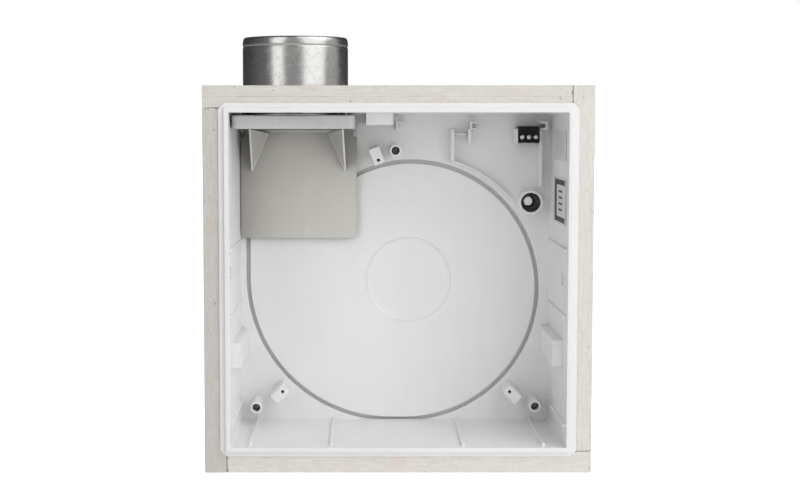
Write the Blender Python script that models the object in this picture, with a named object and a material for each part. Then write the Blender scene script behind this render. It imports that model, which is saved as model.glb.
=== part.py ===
"""Recessed fire-protection casing of a bathroom extractor fan, standing on its lower board.

A moulded fan casing with a spiral seat for the fan insert sits in a jacket of fire board. A steel duct
spigot leaves the top. Under it hangs the shut-off flap, hinged at the back of the outlet frame.

Places are given as (x, height, depth): x and height from the middle of the casing's opening, depth from
the front of its lip to the back. The world has X to the right, Y to the back and Z up, in metres.
"""

import math

import bmesh
import bpy
from mathutils import Matrix, Vector

# Driving dimensions
JACKET = 0.284
BOARD = 0.016
GAP = 0.0003
LIP_PROUD = 0.0033
OPENING_X = 0.123
OPENING_H = 0.1225
CAVITY_DEPTH = 0.091
BACK_WALL = 0.005
WALL = 0.0025
DRAFT = 0.001
SPIGOT_RADIUS = 0.0395
SPIGOT_HEIGHT = 0.036

# Worked out from them
HALF = JACKET / 2
INSIDE = HALF - BOARD
CASING_BACK = CAVITY_DEPTH + BACK_WALL
BOARD_BACK = CASING_BACK + GAP
OVERALL_DEPTH = BOARD_BACK + BOARD
FRONT = -OVERALL_DEPTH / 2

# Flange and lip of the casing
FLANGE_X = 0.1305
FLANGE_H = 0.1295
FLANGE_CUT = 0.0045
FLANGE_BACK = 0.003
FLANGE_EDGE = 0.002
CORNER_STEPS = 4

# Spiral seat: (centre x, centre height, radius, first degree, last degree), run clockwise from the tongue
SEAT_ARCS = (
    (0.012, -0.0092, 0.0934, 132, 90),
    (0.012, -0.0158, 0.1000, 90, 0),
    (0.0066, -0.0158, 0.1054, 0, -90),
    (-0.0033, -0.0082, 0.1130, -90, -180),
)
SEAT_TOP = 0.112
SEAT_WIDTH = 0.0032
SEAT_DEPTH = 0.003
HUB = (0.0102, -0.0092)
HUB_RADIUS = 0.0328
HUB_DEPTH = 0.0016

# Bosses that take the fan insert's screws: (pilot hole x, height, degrees to the outer end)
INSERT_BOSSES = ((-0.01385, 0.08605, 110.7), (-0.0882, -0.0940, 225), (0.0883, -0.0941, 315))
BOSS_SIZE = (0.0132, 0.0084)
BOSS_OFFSET = 0.0034
BOSS_FRONT = 0.065
PILOT_RADIUS = 0.00125
PILOT_DEPTH = 0.014

# Tubes with the screws that hold the casing in its jacket: (x, height)
FIXINGS = ((-0.00065, 0.09325), (-0.1088, -0.1067), (0.1082, -0.1056))
TUBE_RADIUS = 0.0046
TUBE_BORE = 0.0032
TUBE_FLOOR = 0.0736
FIXING_SHANK = 0.0016
FIXING_HEAD = 0.0026
FIXING_HEAD_FRONT = 0.0705
FIXING_END = 0.1075

# Cable entry
ENTRY = (0.1053, 0.0525)
ENTRY_FRONT = 0.079
ENTRY_RADIUS = 0.0096
GROMMET_RADIUS = 0.0074
GROMMET_HOLE = 0.0035
GROMMET_END = 0.105
PLUG_RADIUS = 0.0032
PLUG_FRONT = 0.0955

# Terminal block
TERMINAL_X = (0.0953, 0.1115)
TERMINAL_H = (0.0990, 0.1119)
TERMINAL_DEPTH = (0.078, 0.0906)
TERMINAL_POLES = (0.0982, 0.1035, 0.1088)
TERMINAL_ROW = 0.1034
WELL_RADIUS = 0.0021

# Duct spigot, outlet frame and shut-off flap
SPIGOT = (-0.0765, 0.0475)
SPIGOT_WALL = 0.001
SPIGOT_FLANGE = 0.0425
SPIGOT_JOINT = 0.0045
FRAME_X = (-0.1216, -0.0316)
FRAME_DEPTH = (0.009, 0.0835)
FRAME_H = (0.1105, 0.1204)
FRAME_RIM = 0.0024
FRAME_FLOOR = 0.0022
FRAME_SCREW = 0.0015
FRAME_SCREW_HEAD = 0.0028
FRAME_SCREW_END = 0.0095
OUTLET_RADIUS = 0.034
HINGE_DEPTH = 0.0856
HINGE_H = 0.1088
PIN_RADIUS = 0.0008
PIN_BORE = 0.0009
BARREL_RADIUS = 0.0017
FLAP_X = (-0.1215, -0.0306)
FLAP_THICKNESS = 0.0014
FLAP_BOTTOM = 0.0242
FLAP_CORNER = 0.005
BARREL_X = (-0.1188, -0.0333)
EARS = ((-0.1212, -0.1192), (-0.0329, -0.0309))
WEB_THICKNESS = 0.0008
WEB_CORNERS = ((0.0350, 0.1100, 0.0455), (0.0240, 0.1065, 0.0843), (0.0365, 0.0773, 0.0843))

# Screws through the boards
JACKET_SCREW_REACH = 0.042
JACKET_SCREW_ROWS = (0.025, 0.075)
JACKET_SCREW_SIDE = 0.060
JACKET_SCREW_TOP = (0.000, 0.090)

SMALL = 0.0001


def world(x, height, depth):
    return Vector((x, FRONT + depth, HALF + height))


def clear_scene():
    for thing in list(bpy.data.objects):
        bpy.data.objects.remove(thing)


def material(name, colour, roughness, metallic=0.0):
    finish = bpy.data.materials.get(name)
    if finish is None:
        finish = bpy.data.materials.new(name)
        finish.use_nodes = True
        shader = finish.node_tree.nodes["Principled BSDF"]
        shader.inputs["Base Color"].default_value = (*colour, 1.0)
        shader.inputs["Roughness"].default_value = roughness
        shader.inputs["Metallic"].default_value = metallic
    return finish


def board_white():
    return material("fire_board", (0.70, 0.69, 0.66), 0.85)


def casing_white():
    return material("casing_plastic", (0.76, 0.76, 0.75), 0.45)


def galvanised():
    return material("galvanised_steel", (0.55, 0.55, 0.54), 0.35, 1.0)


def screw_steel():
    return material("screw_steel", (0.20, 0.19, 0.17), 0.40, 1.0)


def place(name, mesh, finish, smooth=False):
    """Turns a bmesh into an object whose faces all point outwards."""
    bmesh.ops.recalc_face_normals(mesh, faces=mesh.faces)
    data = bpy.data.meshes.new(name)
    mesh.to_mesh(data)
    mesh.free()
    if smooth:
        data.shade_smooth()
        data.set_sharp_from_angle(angle=math.radians(35))
    thing = bpy.data.objects.new(name, data)
    thing.data.materials.append(finish)
    bpy.context.scene.collection.objects.link(thing)
    return thing


def helper(name, mesh):
    """A body that only shapes others."""
    thing = place(name, mesh, casing_white())
    thing.hide_render = True
    thing.display_type = "WIRE"
    return thing


def shape_with(thing, tool, operation, overlapping=False):
    step = thing.modifiers.new(tool.name, "BOOLEAN")
    step.operation = operation
    step.solver = "EXACT"
    step.use_self = overlapping
    step.object = tool


def add_prism(mesh, outline, span, plane="front"):
    """A closed prism. The plane says what an outline's two numbers are: front is (x, height), top is
    (x, depth) and side is (depth, height). The span is along the third direction."""
    spots = {
        "front": lambda a, b, c: world(a, b, c),
        "top": lambda a, b, c: world(a, c, b),
        "side": lambda a, b, c: world(c, b, a),
    }
    spot = spots[plane]
    ends = [[mesh.verts.new(spot(a, b, c)) for a, b in outline] for c in span]
    mesh.faces.new(ends[0])
    mesh.faces.new(list(reversed(ends[1])))
    for i in range(len(outline)):
        j = (i + 1) % len(outline)
        mesh.faces.new((ends[0][j], ends[0][i], ends[1][i], ends[1][j]))


def rectangle(first, second, corner=0.0, steps=CORNER_STEPS):
    """Outline of a rectangle from two spans, with round corners."""
    if corner == 0.0:
        return [(first[0], second[0]), (first[1], second[0]), (first[1], second[1]), (first[0], second[1])]
    corners = (
        (first[1] - corner, second[0] + corner, -90),
        (first[1] - corner, second[1] - corner, 0),
        (first[0] + corner, second[1] - corner, 90),
        (first[0] + corner, second[0] + corner, 180),
    )
    outline = []
    for a, b, start in corners:
        for k in range(steps + 1):
            angle = math.radians(start + 90 * k / steps)
            outline.append((a + corner * math.cos(angle), b + corner * math.sin(angle)))
    return outline


def add_block(mesh, x, height, depth):
    add_prism(mesh, rectangle(x, height), depth)


def add_turned_block(mesh, centre, size, degrees, depth):
    """A block whose long side lies at an angle in the front plane."""
    angle = math.radians(degrees)
    along = Vector((math.cos(angle), math.sin(angle))) * size[0] / 2
    across = Vector((-math.sin(angle), math.cos(angle))) * size[1] / 2
    middle = Vector(centre)
    near, far = middle - along, middle + along
    corners = (near - across, far - across, far + across, near + across)
    add_prism(mesh, [(p.x, p.y) for p in corners], depth)


def add_turned(mesh, profile, centre, sides, axis="depth"):
    """A body of revolution. The profile is a closed outline of (radius, distance along the axis); the
    centre gives the two coordinates that stay the same along the axis."""
    spots = {
        "depth": lambda u, v, along: world(centre[0] + u, centre[1] + v, along),
        "height": lambda u, v, along: world(centre[0] + u, along, centre[1] + v),
        "x": lambda u, v, along: world(along, centre[1] + v, centre[0] + u),
    }
    spot = spots[axis]
    rings = []
    for radius, along in profile:
        if radius == 0.0:
            rings.append([mesh.verts.new(spot(0.0, 0.0, along))])
            continue
        turns = (2 * math.pi * k / sides for k in range(sides))
        rings.append([mesh.verts.new(spot(radius * math.cos(t), radius * math.sin(t), along)) for t in turns])
    for here, there in zip(rings, rings[1:] + rings[:1]):
        if len(here) == 1 and len(there) == 1:
            continue
        for k in range(sides):
            j = (k + 1) % sides
            corners = (here[k % len(here)], here[j % len(here)], there[j % len(there)], there[k % len(there)])
            mesh.faces.new(list(dict.fromkeys(corners)))


def rod(radius, start, end):
    return ((0.0, start), (radius, start), (radius, end), (0.0, end))


def ring(inner, outer, start, end):
    return ((inner, start), (outer, start), (outer, end), (inner, end))


def arc(x, height, radius, first, last, steps):
    turns = (math.radians(first + (last - first) * k / steps) for k in range(steps + 1))
    return [(x + radius * math.cos(t), height + radius * math.sin(t)) for t in turns]


def seat_line():
    """The middle line of the spiral seat, from its tongue round to the top of the outlet."""
    line = []
    for x, height, radius, first, last in SEAT_ARCS:
        line += arc(x, height, radius, first, last, max(6, round(abs(first - last) / 6)))
    line.append((line[-1][0], SEAT_TOP))
    kept = [line[0]]
    for point in line[1:]:
        if math.dist(point, kept[-1]) > SMALL:
            kept.append(point)
    return kept


def band(line, width):
    """Outline of a strip of even width along a line."""
    left, right = [], []
    for i, point in enumerate(line):
        before = Vector(line[max(i - 1, 0)])
        after = Vector(line[min(i + 1, len(line) - 1)])
        along = (after - before).normalized()
        side = Vector((-along.y, along.x)) * width / 2
        left.append(tuple(Vector(point) + side))
        right.append(tuple(Vector(point) - side))
    return left + right[::-1]


# Fire board jacket


def jacket_screw_places():
    """Each screw's head, as (x, height, depth), and the direction that it points in."""
    edge = HALF - BOARD / 2
    places = []
    for depth in JACKET_SCREW_ROWS:
        depth += LIP_PROUD
        places.append(((HALF, edge, depth), (-1, 0, 0)))
        places.append(((edge, -HALF, depth), (0, 0, 1)))
        places.append(((-HALF, -edge, depth), (1, 0, 0)))
        places.append(((-edge, HALF, depth), (0, 0, -1)))
    for side in (-JACKET_SCREW_SIDE, JACKET_SCREW_SIDE):
        for spot in ((edge, side), (-edge, side), (side, -edge)):
            places.append(((*spot, OVERALL_DEPTH), (0, -1, 0)))
    for x in JACKET_SCREW_TOP:
        places.append(((x, edge, OVERALL_DEPTH), (0, -1, 0)))
    return places


def jacket_screw_mesh(clearance=0.0):
    """A countersunk screw that points up from its head at the origin. A clearance makes its hole."""
    head, shank = 0.0040 + clearance, 0.0019 + clearance
    start = -0.001 if clearance else 0.0002
    rim, cone, end = 0.0003 + clearance, 0.0026 + clearance, JACKET_SCREW_REACH + clearance
    profile = ((0.0, start), (head, start), (head, rim), (shank, cone), (shank, end), (0.0, end))
    mesh = bmesh.new()
    add_turned(mesh, profile, (0.0, 0.0), 10, "height")
    bmesh.ops.transform(mesh, matrix=Matrix.Translation(-world(0.0, 0.0, 0.0)), verts=mesh.verts)
    bmesh.ops.recalc_face_normals(mesh, faces=mesh.faces)
    data = bpy.data.meshes.new("jacket_screw")
    mesh.to_mesh(data)
    mesh.free()
    return data


def jacket_screw_homes():
    """Where each screw goes, as a matrix that carries it from the origin."""
    homes = []
    for spot, direction in jacket_screw_places():
        turn = Vector((0.0, 0.0, 1.0)).rotation_difference(Vector(direction)).to_matrix().to_4x4()
        homes.append(Matrix.Translation(world(*spot)) @ turn)
    return homes


def jacket_screw_holes():
    data = jacket_screw_mesh(clearance=GAP)
    mesh = bmesh.new()
    for home in jacket_screw_homes():
        data.transform(home)
        mesh.from_mesh(data)
        data.transform(home.inverted())
    bpy.data.meshes.remove(data)
    return helper("jacket_screw_holes", mesh)


def make_jacket():
    """Four boards round the sides, each running past the next at one corner, and one board behind."""
    depth = (LIP_PROUD, CASING_BACK)
    boards = {
        "board_top": ((-HALF, INSIDE - GAP), (INSIDE, HALF), depth),
        "board_right": ((INSIDE, HALF), (-INSIDE + GAP, HALF), depth),
        "board_bottom": ((-INSIDE + GAP, HALF), (-HALF, -INSIDE), depth),
        "board_left": ((-HALF, -INSIDE), (-HALF, INSIDE - GAP), depth),
        "board_back": ((-HALF, HALF), (-HALF, HALF), (BOARD_BACK, OVERALL_DEPTH)),
    }
    screw_holes = jacket_screw_holes()
    passages = bmesh.new()
    joint = SPIGOT_RADIUS + SPIGOT_JOINT
    add_turned(passages, rod(joint, INSIDE - 0.002, HALF + 0.002), SPIGOT, 48, "height")
    add_turned(passages, rod(ENTRY_RADIUS, BOARD_BACK - 0.002, OVERALL_DEPTH + 0.002), ENTRY, 24)
    for spot in FIXINGS:
        add_turned(passages, rod(FIXING_SHANK + GAP, BOARD_BACK - 0.001, FIXING_END + GAP), spot, 12)
    frame_screw_hole = rod(FRAME_SCREW + GAP, INSIDE - 0.001, INSIDE + FRAME_SCREW_END + GAP)
    for spot in frame_screw_places():
        add_turned(passages, frame_screw_hole, spot, 10, "height")
    passage_holes = helper("board_passages", passages)
    for name, (x, height, span) in boards.items():
        mesh = bmesh.new()
        add_block(mesh, x, height, span)
        board = place(name, mesh, board_white())
        shape_with(board, screw_holes, "DIFFERENCE")
        if name in ("board_top", "board_back"):
            shape_with(board, passage_holes, "DIFFERENCE")
    data = jacket_screw_mesh()
    data.materials.append(screw_steel())
    for number, home in enumerate(jacket_screw_homes(), 1):
        screw = bpy.data.objects.new(f"jacket_screw_{number:02d}", data)
        screw.matrix_world = home
        bpy.context.scene.collection.objects.link(screw)


# Casing


def casing_ring(mesh, half_x, half_h, corner, depth, cut=False):
    """One ring of corner points round the casing. A cut corner is straight, any other is round."""
    points = []
    for k in range(4):
        sx, sh = ((1, -1), (1, 1), (-1, 1), (-1, -1))[k]
        middle = Vector((sx * (half_x - corner), sh * (half_h - corner)))
        first = Vector((math.cos(math.radians(90 * k - 90)), math.sin(math.radians(90 * k - 90))))
        last = Vector((-first.y, first.x))
        for step in range(CORNER_STEPS + 1):
            share = step / CORNER_STEPS
            angle = share * math.pi / 2
            arm = first * (1 - share) + last * share
            if not cut:
                arm = first * math.cos(angle) + last * math.sin(angle)
            spot = middle + arm * corner
            points.append(mesh.verts.new(world(spot.x, spot.y, depth)))
    return points


def add_shell(mesh):
    """Walls, back, flange and lip as one skin, from the back round the outside and in at the front."""
    outer_x, outer_h = OPENING_X + WALL, OPENING_H + WALL
    rings = [
        casing_ring(mesh, outer_x - DRAFT, outer_h - DRAFT, 0.004, CASING_BACK),
        casing_ring(mesh, outer_x, outer_h, 0.005, FLANGE_BACK),
        casing_ring(mesh, FLANGE_X, FLANGE_H, FLANGE_CUT, FLANGE_BACK, cut=True),
        casing_ring(mesh, FLANGE_X, FLANGE_H, FLANGE_CUT, FLANGE_EDGE, cut=True),
        casing_ring(mesh, FLANGE_X - 0.0014, FLANGE_H - 0.0014, FLANGE_CUT, FLANGE_EDGE, cut=True),
        casing_ring(mesh, OPENING_X + 0.0036, OPENING_H + 0.0036, 0.004, 0.0003),
        casing_ring(mesh, OPENING_X + 0.0033, OPENING_H + 0.0033, 0.004, 0.0),
        casing_ring(mesh, OPENING_X + 0.0004, OPENING_H + 0.0004, 0.0034, 0.0),
        casing_ring(mesh, OPENING_X, OPENING_H, 0.003, 0.0005),
        casing_ring(mesh, OPENING_X - DRAFT, OPENING_H - DRAFT, 0.002, CAVITY_DEPTH),
    ]
    count = len(rings[0])
    for here, there in zip(rings, rings[1:]):
        for i in range(count):
            j = (i + 1) % count
            mesh.faces.new((here[i], here[j], there[j], there[i]))
    mesh.faces.new(rings[0])
    mesh.faces.new(rings[-1])


def add_wall_ribs(mesh):
    """Thin ribs that run from the front to the back on the bottom and side walls."""
    depth = (0.0055, CAVITY_DEPTH + 0.001)
    for x in (-0.109, -0.049, 0.048, 0.107):
        add_block(mesh, (x - 0.0009, x + 0.0009), (-OPENING_H - 0.001, -OPENING_H + 0.0022), depth)
    for height in (0.022, -0.027, -0.107):
        rise = (height - 0.0009, height + 0.0009)
        add_block(mesh, (-OPENING_X - 0.001, -OPENING_X + 0.0020), rise, depth)
        add_block(mesh, (OPENING_X - 0.0024, OPENING_X + 0.001), rise, depth)


def add_lugs(mesh):
    """Three blocks on the walls that the fan insert rests against."""
    depth = (0.020, CAVITY_DEPTH + 0.001)
    add_block(mesh, (-OPENING_X - 0.001, -0.1168), (-0.0672, -0.0482), depth)
    add_block(mesh, (0.1149, OPENING_X + 0.001), (-0.0660, -0.0460), depth)
    add_block(mesh, (-0.0235, -0.0036), (0.1134, OPENING_H + 0.001), depth)


def add_terminal_holders(mesh):
    """Ribs and clips on the back that hold the terminal block and lead the cable."""
    back = CAVITY_DEPTH + 0.001
    add_block(mesh, (0.0923, 0.0950), (0.0986, 0.1100), (0.079, back))
    add_block(mesh, (0.1118, 0.1143), (0.0649, 0.1100), (0.082, back))
    hook = ((0.1120, 0.1157), (0.1184, 0.1157), (0.1184, 0.1088), (0.1120, 0.1088))
    hook += ((0.1120, 0.1105), (0.1167, 0.1105), (0.1167, 0.1140), (0.1120, 0.1140))
    add_prism(mesh, hook, (0.0815, back))
    add_block(mesh, (0.0429, 0.0454), (0.0850, 0.1100), (0.079, back))
    add_block(mesh, (0.0450, 0.0558), (0.1050, 0.1064), (0.086, back))
    add_block(mesh, (0.0563, 0.0590), (0.0988, 0.1098), (0.082, back))
    clip = ((0.0578, 0.1157), (0.0633, 0.1157), (0.0633, 0.1143), (0.0595, 0.1143))
    clip += ((0.0595, 0.1106), (0.0633, 0.1106), (0.0633, 0.1092), (0.0578, 0.1092))
    add_prism(mesh, clip[::-1], (0.0815, back))
    corner = ((0.0002, 0.1157), (0.0063, 0.1157), (0.0063, 0.1088), (0.0047, 0.1088))
    corner += ((0.0047, 0.1141), (0.0002, 0.1141))
    add_prism(mesh, corner, (0.0815, back))
    guide = arc(SEAT_ARCS[1][0], SEAT_ARCS[1][1], SEAT_ARCS[1][2] + 0.0057, 72, 42, 8)
    add_prism(mesh, band(guide, 0.0013), (0.084, back))


def add_fixing_places(mesh):
    """Bosses for the fan insert's screws, tubes for the casing's own screws and the cable entry."""
    back = CAVITY_DEPTH + 0.001
    for x, height, degrees in INSERT_BOSSES:
        out = Vector((math.cos(math.radians(degrees)), math.sin(math.radians(degrees))))
        centre = Vector((x, height)) + out * BOSS_OFFSET
        add_turned_block(mesh, centre, BOSS_SIZE, degrees, (BOSS_FRONT, back))
    for spot in FIXINGS:
        add_turned(mesh, rod(TUBE_RADIUS, BOSS_FRONT, back), spot, 24)
    add_turned(mesh, rod(ENTRY_RADIUS, ENTRY_FRONT, back), ENTRY, 36)


def casing_holes():
    """All that is cut out of the casing: seat, hub, bores, wall slots and the duct opening."""
    mesh = bmesh.new()
    add_prism(mesh, band(seat_line(), SEAT_WIDTH), (CAVITY_DEPTH - 0.0003, CAVITY_DEPTH + SEAT_DEPTH))
    add_turned(mesh, rod(HUB_RADIUS, CAVITY_DEPTH - 0.0005, CAVITY_DEPTH + HUB_DEPTH), HUB, 64)
    for x, height, _ in INSERT_BOSSES:
        add_turned(mesh, rod(PILOT_RADIUS, BOSS_FRONT - 0.001, BOSS_FRONT + PILOT_DEPTH), (x, height), 12)
    for spot in FIXINGS:
        hole = FIXING_SHANK + GAP
        profile = ((0.0, BOSS_FRONT - 0.001), (TUBE_BORE, BOSS_FRONT - 0.001), (TUBE_BORE, TUBE_FLOOR))
        profile += ((hole, TUBE_FLOOR), (hole, CASING_BACK + 0.001), (0.0, CASING_BACK + 0.001))
        add_turned(mesh, profile, spot, 20)
    add_turned(mesh, rod(GROMMET_RADIUS + GAP, ENTRY_FRONT - 0.001, CASING_BACK + 0.001), ENTRY, 36)
    add_block(mesh, (-OPENING_X - 0.004, -OPENING_X + 0.0005), (0.0008, 0.0089), (0.007, 0.017))
    add_block(mesh, (OPENING_X - 0.0008, OPENING_X + 0.004), (-0.0060, 0.0032), (0.021, 0.030))
    add_turned(mesh, rod(SPIGOT_RADIUS + 0.0004, OPENING_H - 0.003, INSIDE), SPIGOT, 48, "height")
    for spot in frame_screw_places():
        add_turned(mesh, rod(FRAME_SCREW + GAP, OPENING_H - 0.003, INSIDE), spot, 10, "height")
    return helper("casing_holes", mesh)


def make_casing():
    mesh = bmesh.new()
    add_shell(mesh)
    casing = place("casing", mesh, casing_white())
    features = bmesh.new()
    add_wall_ribs(features)
    add_lugs(features)
    add_terminal_holders(features)
    add_fixing_places(features)
    shape_with(casing, helper("casing_features", features), "UNION", overlapping=True)
    shape_with(casing, casing_holes(), "DIFFERENCE")


def make_casing_screws():
    """A pan-head screw with a cross recess down each tube, on a washer."""
    neck = FIXING_HEAD_FRONT + 0.0016
    head = ((0.0, FIXING_HEAD_FRONT), (0.0018, FIXING_HEAD_FRONT), (FIXING_HEAD, FIXING_HEAD_FRONT + 0.0006))
    shank = ((FIXING_SHANK, neck), (FIXING_SHANK, FIXING_END - 0.003), (0.0, FIXING_END))
    crosses = bmesh.new()
    for x, height in FIXINGS:
        front = (FIXING_HEAD_FRONT - 0.0005, FIXING_HEAD_FRONT + 0.0009)
        add_block(crosses, (x - 0.0013, x + 0.0013), (height - 0.0003, height + 0.0003), front)
        add_block(crosses, (x - 0.0003, x + 0.0003), (height - 0.0013, height + 0.0013), front)
    slots = helper("casing_screw_slots", crosses)
    for number, spot in enumerate(FIXINGS, 1):
        mesh = bmesh.new()
        add_turned(mesh, head + ((FIXING_HEAD, neck),) + shank, spot, 16)
        screw = place(f"casing_screw_{number}", mesh, screw_steel(), smooth=True)
        shape_with(screw, slots, "DIFFERENCE", overlapping=True)
        mesh = bmesh.new()
        add_turned(mesh, ring(FIXING_SHANK + GAP, 0.0029, neck + GAP, TUBE_FLOOR - GAP), spot, 16)
        place(f"casing_washer_{number}", mesh, screw_steel(), smooth=True)


# Cable entry and terminals


def make_cable_entry():
    start, end = ENTRY_FRONT + 0.0008, GROMMET_END
    mesh = bmesh.new()
    outside = GROMMET_RADIUS
    profile = ((outside - 0.0008, start), (outside, start + 0.0008), (outside, end), (GROMMET_HOLE, end))
    profile += ((GROMMET_HOLE, start + 0.0100), (outside - 0.0016, start))
    add_turned(mesh, profile, ENTRY, 36)
    place("cable_grommet", mesh, material("black_rubber", (0.012, 0.012, 0.012), 0.6), smooth=True)
    mesh = bmesh.new()
    front = PLUG_FRONT
    dimple = ((0.0, front + 0.0004), (0.0006, front + 0.0004), (0.0009, front + 0.0001), (0.0014, front))
    dimple += ((PLUG_RADIUS - 0.0005, front), (PLUG_RADIUS, front + 0.0005), (PLUG_RADIUS, end), (0.0, end))
    add_turned(mesh, dimple, ENTRY, 24)
    place("grommet_plug", mesh, material("plug_plastic", (0.72, 0.72, 0.70), 0.45), smooth=True)


def make_terminal_block():
    """A three-pole block: its body, the metal clamps inside and the slotted screws."""
    front, back = TERMINAL_DEPTH
    mesh = bmesh.new()
    add_block(mesh, TERMINAL_X, TERMINAL_H, TERMINAL_DEPTH)
    body = place("terminal_block", mesh, material("terminal_plastic", (0.015, 0.015, 0.015), 0.5))
    wells = bmesh.new()
    floor = front + 0.0040
    neck = front + 0.0024
    for number, x in enumerate(TERMINAL_POLES, 1):
        spot = (x, TERMINAL_ROW)
        add_turned(wells, rod(WELL_RADIUS, front - 0.001, floor + 0.0005), spot, 16)
        add_block(wells, (x - 0.0022, x + 0.0022), (0.1008, 0.1062), (floor, back - 0.0010))
        mouth = (TERMINAL_H[0] - 0.001, 0.1010)
        add_block(wells, (x - 0.0016, x + 0.0016), mouth, (floor + 0.0015, back - 0.0020))
        mesh = bmesh.new()
        add_block(mesh, (x - 0.0019, x + 0.0019), (0.1011, 0.1059), (floor + 0.0024, back - 0.0013))
        place(f"terminal_clamp_{number}", mesh, material("brass", (0.60, 0.45, 0.20), 0.35, 1.0))
        head = ((0.0, front + 0.0009), (0.0015, front + 0.0009), (0.0018, front + 0.0012), (0.0018, neck))
        mesh = bmesh.new()
        add_turned(mesh, head + ((0.0012, neck), (0.0012, floor + 0.0021), (0.0, floor + 0.0021)), spot, 16)
        steel = material("bright_steel", (0.62, 0.62, 0.60), 0.30, 1.0)
        screw = place(f"terminal_screw_{number}", mesh, steel, smooth=True)
        slot = bmesh.new()
        span = (TERMINAL_ROW - 0.003, TERMINAL_ROW + 0.003)
        add_block(slot, (x - 0.00025, x + 0.00025), span, (front, front + 0.0015))
        shape_with(screw, helper(f"terminal_slot_{number}", slot), "DIFFERENCE")
    shape_with(body, helper("terminal_wells", wells), "DIFFERENCE", overlapping=True)


def make_labels():
    """Two blank stickers on the right wall, which leans outwards to the front."""
    stickers = {"rating_label": (0.0390, 0.0739), "wiring_label": (0.0867, 0.1094)}
    for name, (low, high) in stickers.items():
        mesh = bmesh.new()
        outline = []
        for x_back, depth in ((GAP, 0.012), (GAP, 0.069), (GAP + 0.0002, 0.069), (GAP + 0.0002, 0.012)):
            outline.append((OPENING_X - DRAFT * depth / CAVITY_DEPTH - x_back, depth))
        add_prism(mesh, outline, (low, high), "top")
        place(name, mesh, material("label_film", (0.80, 0.80, 0.79), 0.35))


# Duct outlet


def frame_screw_places():
    """(x, depth) of the four screws that hold the outlet frame up under the top board."""
    return [(SPIGOT[0] + sx * 0.0385, depth) for sx in (-1, 1) for depth in (0.0150, 0.0770)]


def make_spigot():
    """A steel tube with a flange inside the casing and a bead near its tapered end."""
    top = HALF + SPIGOT_HEIGHT
    outer, inner = SPIGOT_RADIUS, SPIGOT_RADIUS - SPIGOT_WALL
    under = FRAME_H[1] + 0.0004
    profile = (
        (inner, under),
        (SPIGOT_FLANGE, under),
        (SPIGOT_FLANGE, under + 0.0007),
        (outer, under + 0.0007),
        (outer, top - 0.0078),
        (outer - 0.0005, top - 0.0070),
        (outer, top - 0.0062),
        (outer - 0.0008, top - 0.0006),
        (outer - 0.0012, top),
        (inner - 0.0006, top),
        (inner - 0.0008, top - 0.0006),
        (inner, top - 0.0062),
    )
    mesh = bmesh.new()
    add_turned(mesh, profile, SPIGOT, 72, "height")
    place("duct_spigot", mesh, galvanised(), smooth=True)
    mesh = bmesh.new()
    add_turned(mesh, ring(outer + GAP, outer + SPIGOT_JOINT - GAP, INSIDE, HALF - GAP), SPIGOT, 48, "height")
    place("spigot_mastic", mesh, material("mastic", (0.52, 0.52, 0.50), 0.8), smooth=True)


def make_outlet_frame():
    """A shallow tray with a round outlet in its floor and two ears for the hinge pin."""
    low, high = FRAME_H
    mesh = bmesh.new()
    add_prism(mesh, rectangle(FRAME_X, FRAME_DEPTH, 0.005, 5), FRAME_H, "top")
    frame = place("outlet_frame", mesh, material("frame_plastic", (0.54, 0.55, 0.56), 0.35))
    ears = bmesh.new()
    outline = ((0.0810, low + 0.0006), (0.0838, low + 0.0006), (0.0838, 0.1070), (0.0874, 0.1070))
    outline += ((0.0874, low + 0.0034), (0.0810, low + 0.0034))
    for span in EARS:
        add_prism(ears, outline, span, "side")
    shape_with(frame, helper("frame_ears", ears), "UNION")
    holes = bmesh.new()
    inner_x = (FRAME_X[0] + FRAME_RIM, FRAME_X[1] - FRAME_RIM)
    inner_depth = (FRAME_DEPTH[0] + FRAME_RIM, FRAME_DEPTH[1] - FRAME_RIM)
    floor = low + FRAME_FLOOR
    add_prism(holes, rectangle(inner_x, inner_depth, 0.003, 5), (floor, high + 0.001), "top")
    middle = (SPIGOT[0], sum(FRAME_DEPTH) / 2)
    add_turned(holes, rod(OUTLET_RADIUS, low - 0.001, floor + 0.001), middle, 48, "height")
    for spot in frame_screw_places():
        add_turned(holes, rod(FRAME_SCREW_HEAD + 0.0004, low - 0.001, low + 0.0015), spot, 12, "height")
        add_turned(holes, rod(FRAME_SCREW + GAP, low, floor + 0.001), spot, 10, "height")
    add_turned(holes, rod(PIN_BORE, FRAME_X[0] - 0.002, FRAME_X[1] + 0.002), (HINGE_DEPTH, HINGE_H), 16, "x")
    shape_with(frame, helper("frame_holes", holes), "DIFFERENCE", overlapping=True)
    under, neck, end = low + 0.0002, low + 0.0012, INSIDE + FRAME_SCREW_END
    head = ((0.0, under), (FRAME_SCREW_HEAD, under), (FRAME_SCREW_HEAD, neck), (FRAME_SCREW, neck))
    for number, spot in enumerate(frame_screw_places(), 1):
        mesh = bmesh.new()
        add_turned(mesh, head + ((FRAME_SCREW, end - 0.0015), (0.0, end)), spot, 12, "height")
        place(f"frame_screw_{number}", mesh, screw_steel(), smooth=True)


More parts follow.
